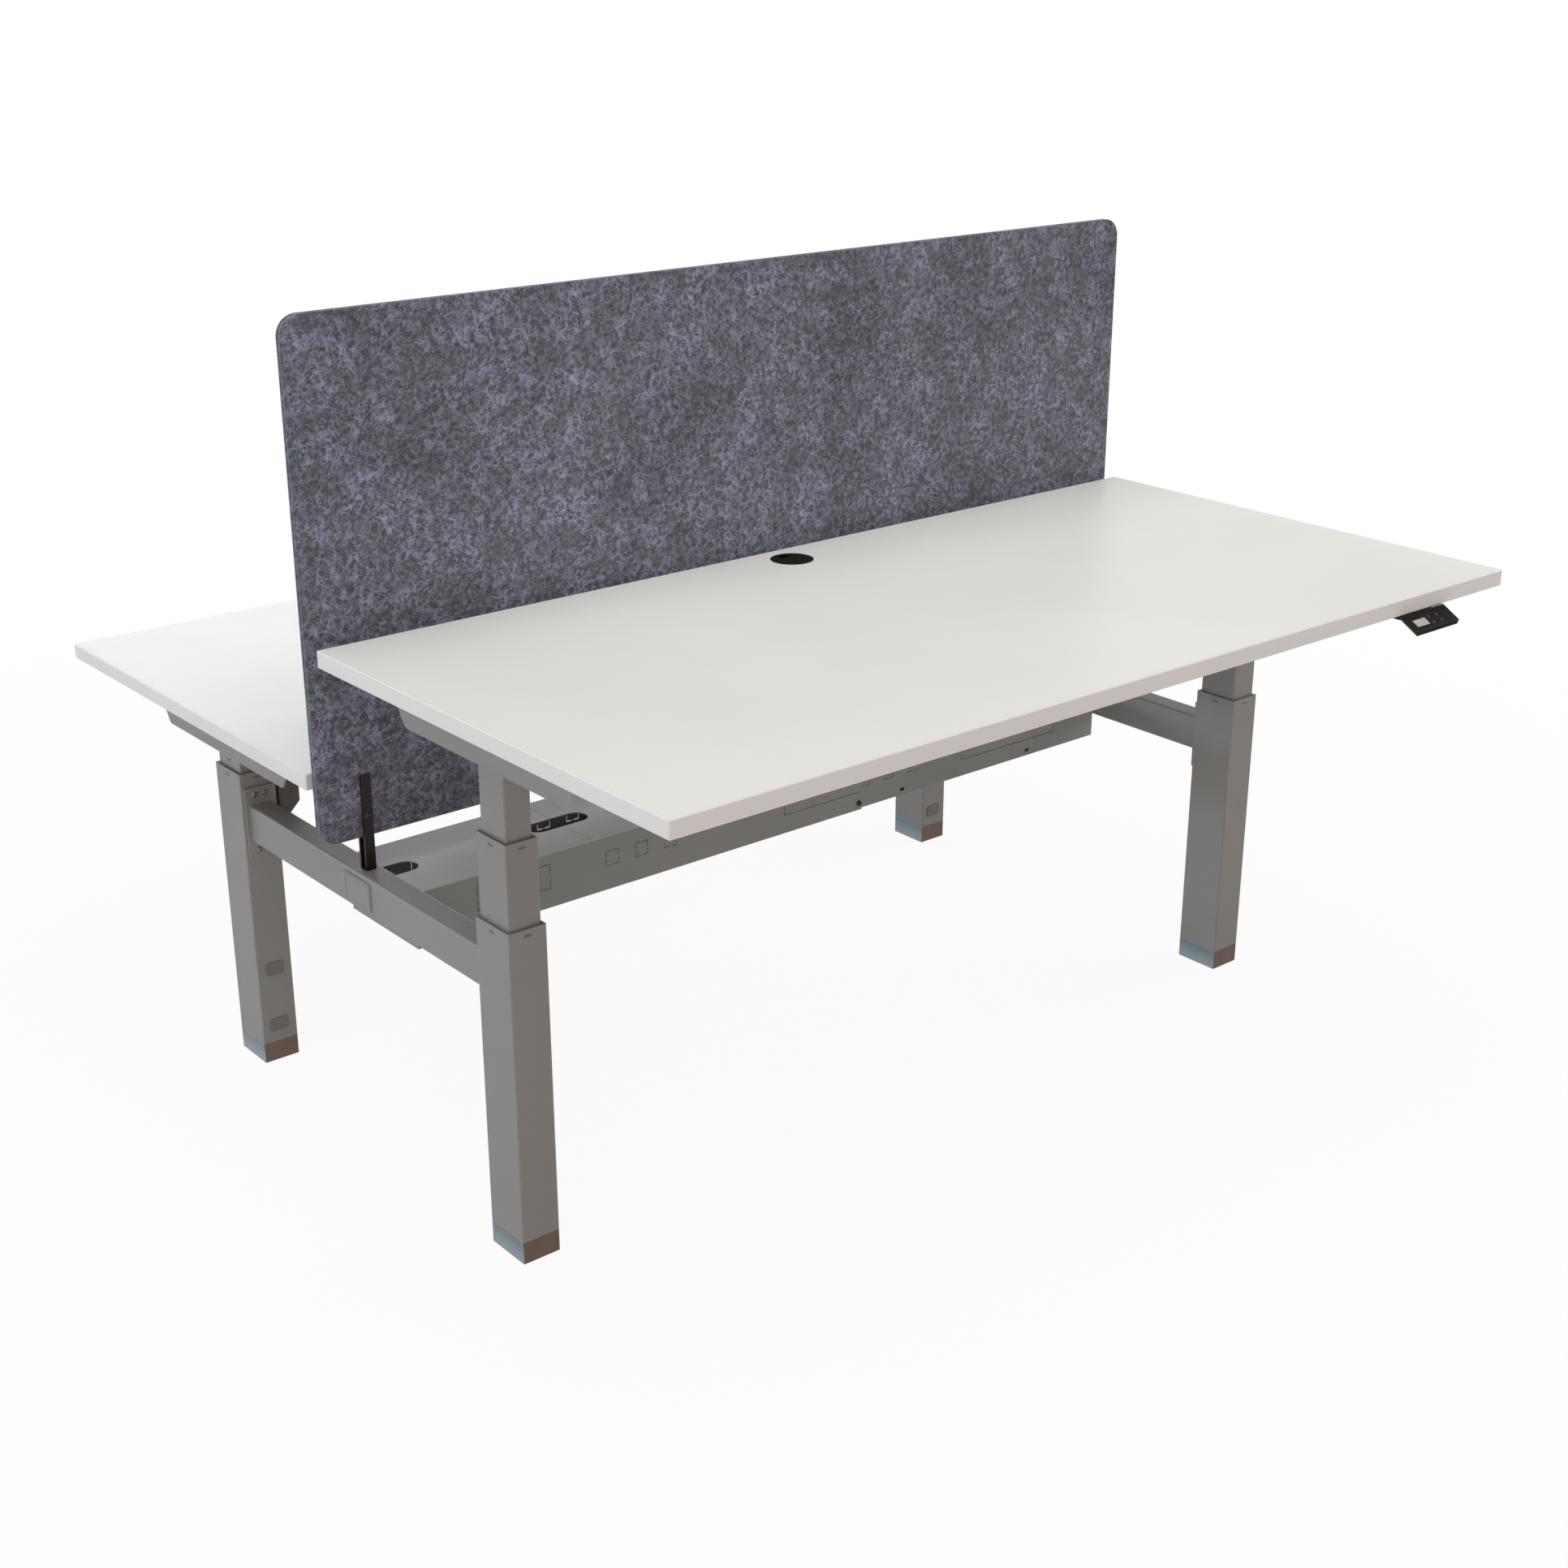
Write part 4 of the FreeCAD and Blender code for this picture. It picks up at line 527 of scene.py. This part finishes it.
dress(frame_coat, "front_outer_columns", "rear_outer_columns", "left_side_rail", "right_side_rail",
      "rail_cover_plates")
dress(lid_coat_painted_light, "tray_lids")
for side in SIDES:
    dress(tray_finish(f"tray_{side}_coat", f"tray_{side}_trough"), f"tray_{side}_trough")
dress(shoe_polish_painted_reflection, "foot_shoes")
dress(pad_rubber, "floor_pads")
dress(plug_plastic, "column_plugs")
dress(bush_plastic, "outer_guide_bushes")
dress(bright_steel, "lower_lead_screws")
dress(bolt_zinc, "rail_screws")
dress(black_screw, "screen_and_tray_screws")
dress(bracket_gloss, "screen_brackets")
for row in ROWS:
    for side in SIDES:
        dress(tube_coat, f"{row}_{side}_mid_column")
        dress(bush_plastic, f"{row}_{side}_mid_bush")
        dress(bright_steel, f"{row}_{side}_drive_tube", f"{row}_{side}_upper_screw")
    desk_low, desk_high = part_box(f"{row}_desktop")
    dress(board(f"{row}_board", (desk_low.y + desk_high.y) / 2), f"{row}_desktop")
    dress(tube_coat, f"{row}_inner_columns")
    dress(frame_coat, f"{row}_support_arms", f"{row}_cross_rails")
    dress(gear_cast, f"{row}_gear_housings")
    dress(motor_coat, f"{row}_motor")
    dress(bright_steel, f"{row}_drive_shaft")
    dress(black_plastic, f"{row}_control_box", f"{row}_grommet_ring", f"{row}_grommet_cap",
          f"{row}_handset_base", f"{row}_handset_paddle")
    dress(display_pane, f"{row}_handset_display")


# Added pieces


def add_piece(name, mesh_work, finish, body):
    """Turn a bmesh into a named piece that rides on a body."""
    mesh = bpy.data.meshes.new(name)
    bmesh.ops.recalc_face_normals(mesh_work, faces=mesh_work.faces)
    mesh_work.to_mesh(mesh)
    mesh_work.free()
    mesh.materials.append(finish)
    piece = bpy.data.objects.new(name, mesh)
    scene.collection.objects.link(piece)
    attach(piece, body)
    return piece


def rounded_outline(width, height, corner, steps):
    """Points round a rectangle with rounded corners, centred on zero."""
    points = []
    for quarter, (right, up) in enumerate(((1, 1), (-1, 1), (-1, -1), (1, -1))):
        for step in range(steps + 1):
            angle = math.pi / 2 * (quarter + step / steps)
            points.append((right * (width / 2 - corner) + corner * math.cos(angle),
                           up * (height / 2 - corner) + corner * math.sin(angle)))
    return points


def join_rings(work, rings):
    """Faces between each ring of points and the next."""
    faces = []
    for first, second in zip(rings, rings[1:]):
        for index in range(len(first)):
            after = (index + 1) % len(first)
            corners = (first[index], first[after], second[after], second[index])
            faces.append(work.faces.new(corners))
    return faces


def close_ends(work, rings):
    """A face across the first ring of points and one across the last."""
    work.faces.new(rings[0])
    work.faces.new(rings[-1])


def felt_screen():
    """Two pressed layers with a groove between them round the rim."""
    low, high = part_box("privacy_screen")
    half = (high.y - low.y) / 2
    centre = (low + high) / 2
    width = high.x - low.x
    height = high.z - low.z
    profile = [(-share, inset) for share, inset in SCREEN_RIM]
    profile += [(share, inset) for share, inset in reversed(SCREEN_RIM)]
    work = bmesh.new()
    rings = []
    for share, inset in profile:
        outline = rounded_outline(width - 2 * inset, height - 2 * inset, SCREEN_CORNER - inset, steps=12)
        y = centre.y + share * half
        rings.append([work.verts.new((centre.x + x, y, centre.z + z)) for x, z in outline])
    for rim in join_rings(work, rings):
        rim.material_index = 1
        rim.smooth = True
    close_ends(work, rings)
    piece = add_piece("felt_screen", work, felt_cloth, "base_frame")
    piece.data.materials.append(felt_edge)
    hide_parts("privacy_screen")


felt_screen()


def on_desk(row, x, y, z):
    """A place given on the raised front desk, moved to the same place on either desk."""
    if row == "front":
        return Vector((x, y, z))
    return Vector((-x, -y, z - DESK_STEP))


def raised_plate(work, outline, steps, place):
    """A plate on a surface: outline gives its rim for an inset, place turns that into points of the part."""
    rings = [[work.verts.new(place(a, b, rise)) for a, b in outline(inset)] for rise, inset in steps]
    join_rings(work, rings)
    close_ends(work, rings)


def raised_ring(work, outline, section, place):
    """A closed ridge on a surface, from an outline and a place as for a plate."""
    rings = [[work.verts.new(place(a, b, rise)) for a, b in outline(inset)] for inset, rise in section]
    join_rings(work, rings + rings[:1])


def moved_outline(points, across, along):
    """The same outline about another middle."""
    return [(across + a, along + b) for a, b in points]


def screw_head(work, radius, height, place):
    """A domed screw head with a hexagon socket."""
    def circle(size):
        angles = [2 * math.pi * n / SCREW_POINTS for n in range(SCREW_POINTS)]
        return [(size * math.cos(angle), size * math.sin(angle)) for angle in angles]

    def three_on_side(size, n):
        start = Vector((size * math.cos(math.pi * n / 3), size * math.sin(math.pi * n / 3)))
        end = Vector((size * math.cos(math.pi * (n + 1) / 3), size * math.sin(math.pi * (n + 1) / 3)))
        return [tuple(start.lerp(end, share / 3)) for share in range(3)]

    def hexagon(size):
        return [point for n in range(6) for point in three_on_side(size, n)]

    rims = [
        (circle(radius), -0.0002),
        (circle(radius), 0.25 * height),
        (circle(0.86 * radius), 0.72 * height),
        (circle(0.62 * radius), height),
        (hexagon(0.46 * radius), height),
        (hexagon(0.44 * radius), 0.35 * height),
    ]
    rings = [[work.verts.new(place(a, b, rise)) for a, b in rim] for rim, rise in rims]
    join_rings(work, rings)
    close_ends(work, rings)


def handset_pieces(row):
    """The glossy face of the paddle with its touch marks and thumb ridge, and the lip behind it."""
    def on_panel(across, along, rise):
        y = PANEL_BACK - along * math.cos(PANEL_SLOPE) - rise * math.sin(PANEL_SLOPE)
        z = PANEL_TOP - along * math.sin(PANEL_SLOPE) + rise * math.cos(PANEL_SLOPE)
        return on_desk(row, HANDSET_X + across, y, z)

    def face_outline(inset):
        width, height, corner = FACE_OUTLINE
        rim = rounded_outline(width - 2 * inset, height - 2 * inset, corner, steps=5)
        return moved_outline(rim, 0.0, PANEL_MIDDLE)

    work = bmesh.new()
    raised_plate(work, face_outline, FACE_STEPS, on_panel)
    add_piece(f"{row}_handset_face", work, face_gloss, f"{row}_paddle")

    work = bmesh.new()
    for across in MARKS_ACROSS:
        for along in MARKS_ALONG:
            def mark_outline(inset, across=across, along=along):
                width, height, corner = MARK_OUTLINE
                bar = rounded_outline(width - 2 * inset, height - 2 * inset, corner, steps=3)
                return moved_outline(bar, across, along)
            raised_plate(work, mark_outline, MARK_STEPS, on_panel)
    add_piece(f"{row}_handset_marks", work, mark_print, f"{row}_paddle")

    def thumb_outline(inset):
        width, height, corner = THUMB_OUTLINE
        rim = rounded_outline(width - 2 * inset, height - 2 * inset, corner - inset, steps=8)
        return moved_outline(rim, THUMB_ACROSS, PANEL_MIDDLE)

    work = bmesh.new()
    raised_ring(work, thumb_outline, THUMB_SECTION, on_panel)
    add_piece(f"{row}_thumb_ridge", work, face_gloss, f"{row}_paddle")

    def lip_place(across, along, rise):
        return on_desk(row, HANDSET_X + across, LIP_FRONT + along, DESK_UNDERSIDE - rise)

    def lip_outline(inset):
        width, height, corner = LIP_OUTLINE
        rim = rounded_outline(width - 2 * inset, height - 2 * inset, corner, steps=4)
        return moved_outline(rim, 0.0, LIP_MIDDLE)

    work = bmesh.new()
    raised_plate(work, lip_outline, LIP_STEPS, lip_place)
    add_piece(f"{row}_handset_lip", work, black_plastic, f"{row}_desk")


def motor_pieces(row):
    """Two bands round the motor, and four screws in its side."""
    low_x, high_x = MOTOR_X
    centre_x = (low_x + high_x) / 2

    def level(height):
        return lambda a, b, rise: on_desk(row, centre_x + a, -COLUMN_Y + b, height + rise)

    def body_outline(inset):
        return rounded_outline(high_x - low_x - 2 * inset, MOTOR_DEPTH - 2 * inset, MOTOR_CORNER, steps=4)

    work = bmesh.new()
    for height in MOTOR_BANDS:
        raised_ring(work, body_outline, BAND_SECTION, level(height))
    add_piece(f"{row}_motor_bands", work, black_plastic, f"{row}_desk")

    work = bmesh.new()
    for height in MOTOR_SCREWS:
        for offset in (-MOTOR_SCREW_OFFSET, MOTOR_SCREW_OFFSET):
            def place(a, b, rise, height=height, offset=offset):
                return on_desk(row, low_x - rise, -COLUMN_Y + offset + a, height + b)
            screw_head(work, MOTOR_SCREW_RADIUS, MOTOR_SCREW_HEIGHT, place)
    add_piece(f"{row}_motor_screws", work, black_screw, f"{row}_desk")


def desk_screws(row):
    """Screws that hold the support arms up to the desktop."""
    work = bmesh.new()
    for side in (-1, 1):
        for offset in ARM_SCREWS:
            def place(a, b, rise, side=side, offset=offset):
                return on_desk(row, side * COLUMN_X + a, -COLUMN_Y + offset + b, ARM_WEB - rise)
            screw_head(work, ARM_SCREW_RADIUS, ARM_SCREW_HEIGHT, place)
    add_piece(f"{row}_desk_screws", work, bright_steel, f"{row}_desk")


def control_box_pieces(row):
    """A row of sockets along the back of the control box."""
    low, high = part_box(f"{row}_control_box")
    face = BOX_BACK if row == "front" else -BOX_BACK
    away = 1 if row == "front" else -1
    work = bmesh.new()
    for across in SOCKETS:
        for size, section in SOCKET_RIMS:
            def outline(inset, size=size):
                width, height, corner = size
                least = max(corner - inset, SOCKET_LEAST_CORNER)
                return rounded_outline(width - 2 * inset, height - 2 * inset, least, steps=4)

            def place(a, b, rise, across=across):
                return Vector((across + a, face + away * rise, (low.z + high.z) / 2 + b))
            raised_ring(work, outline, section, place)
    add_piece(f"{row}_control_sockets", work, bush_plastic, f"{row}_desk")


def plate_rims():
    """A low raised rim round each bare cover plate on the rails."""
    def outline(inset):
        width, height, corner = PLATE_OUTLINE
        return rounded_outline(width - 2 * inset, height - 2 * inset, corner - inset, steps=5)

    work = bmesh.new()
    for side in (-1, 1):
        def place(a, b, rise, side=side):
            return Vector((side * (PLATE_FACE + rise), a, PLATE_HEIGHT + b))
        raised_ring(work, outline, PLATE_SECTION, place)
    add_piece("cover_plate_rims", work, frame_coat, "base_frame")


for row in ROWS:
    handset_pieces(row)
    motor_pieces(row)
    desk_screws(row)
    control_box_pieces(row)
plate_rims()
for name, width in SOFT_EDGES:
    softened = nodes[name].modifiers.new("softened_edges", "BEVEL")
    softened.width = width
    softened.segments = 2
    softened.limit_method = "ANGLE"


# Camera at the photograph's angle

AZIMUTH = math.radians(-39.7168)
ELEVATION = math.radians(21.1985)
camera_data = bpy.data.cameras.new("camera")
camera_data.sensor_width = 36.0
camera_data.lens = 50.914
camera_data.clip_end = 200.0
camera = bpy.data.objects.new("camera", camera_data)
back = Vector((math.sin(AZIMUTH) * math.cos(ELEVATION),
               -math.cos(AZIMUTH) * math.cos(ELEVATION),
               math.sin(ELEVATION)))
camera.rotation_mode = "QUATERNION"
camera.location = (-2.152393, -2.658670, 1.727916)
camera.rotation_quaternion = (-back).to_track_quat("-Z", "Y")
scene.collection.objects.link(camera)
scene.camera = camera


# Light: soft overhead, warm from the right and from the near corner, and two long low cool lights, behind
# and on the left, that reach under the desktops

LIGHT_AIM = Vector((0, 0, 0.6))


def area_light(name, place, size, power, colour):
    """A soft rectangular lamp that faces the part; place and size are in metres, power in watts."""
    lamp_data = bpy.data.lights.new(name, "AREA")
    lamp_data.shape = "RECTANGLE"
    lamp_data.size = size[0]
    lamp_data.size_y = size[1]
    lamp_data.energy = power
    lamp_data.color = colour
    lamp = bpy.data.objects.new(name, lamp_data)
    lamp.location = place
    lamp.rotation_mode = "QUATERNION"
    lamp.rotation_quaternion = (LIGHT_AIM - Vector(place)).to_track_quat("-Z", "Y")
    scene.collection.objects.link(lamp)


area_light("overhead_light", (-0.6, -0.4, 4.2), (4.5, 4.5), 146.0, (0.975, 1.0, 0.985))
area_light("right_light", (5.0, -1.5, 1.9), (4.0, 2.6), 152.0, (1.0, 0.91, 0.84))
area_light("corner_light", (-4.2, -4.6, 2.6), (4.0, 3.0), 89.0, (1.0, 0.76, 0.66))
area_light("low_back_light", (0.0, 8.0, 1.05), (12.0, 1.3), 650.0, (0.87, 0.935, 1.0))
area_light("low_left_light", (-9.0, -0.6, 0.9), (10.0, 1.6), 150.0, (0.80, 0.95, 1.0))


def seen_directly(tree):
    """1 for what is seen straight, mirrored or through a clear thing, 0 for what only lights the part."""
    path = put(tree, "ShaderNodeLightPath")
    reflected = figure(tree, "MAXIMUM", path.outputs["Is Glossy Ray"], path.outputs["Is Transmission Ray"])
    return figure(tree, "MAXIMUM", path.outputs["Is Camera Ray"], reflected)


world = bpy.data.worlds.new("studio")
world.use_nodes = True
scene.world = world
sky = world.node_tree
sky.nodes.clear()
ambient = put(sky, "ShaderNodeBackground", {"Color": (0.94, 0.97, 1.0, 1.0), "Strength": 0.02})
white = put(sky, "ShaderNodeBackground", {"Color": (1.0, 1.0, 1.0, 1.0), "Strength": 1.0})
shades = {0: seen_directly(sky), 1: ambient.outputs[0], 2: white.outputs[0]}
backdrop = put(sky, "ShaderNodeMixShader", shades)
put(sky, "ShaderNodeOutputWorld", {"Surface": backdrop.outputs[0]})


# The floor's radius, its level below the pads, where its shadow fades out, and its whiteness by the part.
FLOOR_RADIUS = 70.0
FLOOR_LEVEL = -0.0005
SHADOW_FADE = (1.2, 3.2)
NEAR_WHITE = 0.94


def floor():
    """A pale floor that keeps the part's shadow and goes to white away from it."""
    work = bmesh.new()
    bmesh.ops.create_circle(work, cap_ends=True, radius=FLOOR_RADIUS, segments=96)
    mesh = bpy.data.meshes.new("floor")
    work.to_mesh(mesh)
    work.free()
    plane = bpy.data.objects.new("floor", mesh)
    plane.location = (0.0, 0.0, FLOOR_LEVEL)
    scene.collection.objects.link(plane)
    made = bpy.data.materials.new("pale_floor")
    made.use_nodes = True
    tree = made.node_tree
    tree.nodes.clear()
    lit = put(tree, "ShaderNodeBsdfDiffuse", {"Color": (0.86, 0.86, 0.86, 1.0)})
    clear = put(tree, "ShaderNodeEmission", {"Color": (1.0, 1.0, 1.0, 1.0), "Strength": 1.0})
    reach = vector_figure(tree, "LENGTH", {0: place_in_part(tree)}, "Value")
    share = figure(tree, "MULTIPLY", span(tree, reach, *SHADOW_FADE, NEAR_WHITE, 1.0), seen_directly(tree))
    mixed = put(tree, "ShaderNodeMixShader", {0: share, 1: lit.outputs[0], 2: clear.outputs[0]})
    put(tree, "ShaderNodeOutputMaterial", {"Surface": mixed.outputs[0]})
    mesh.materials.append(made)


floor()
scene.view_settings.view_transform = "Standard"
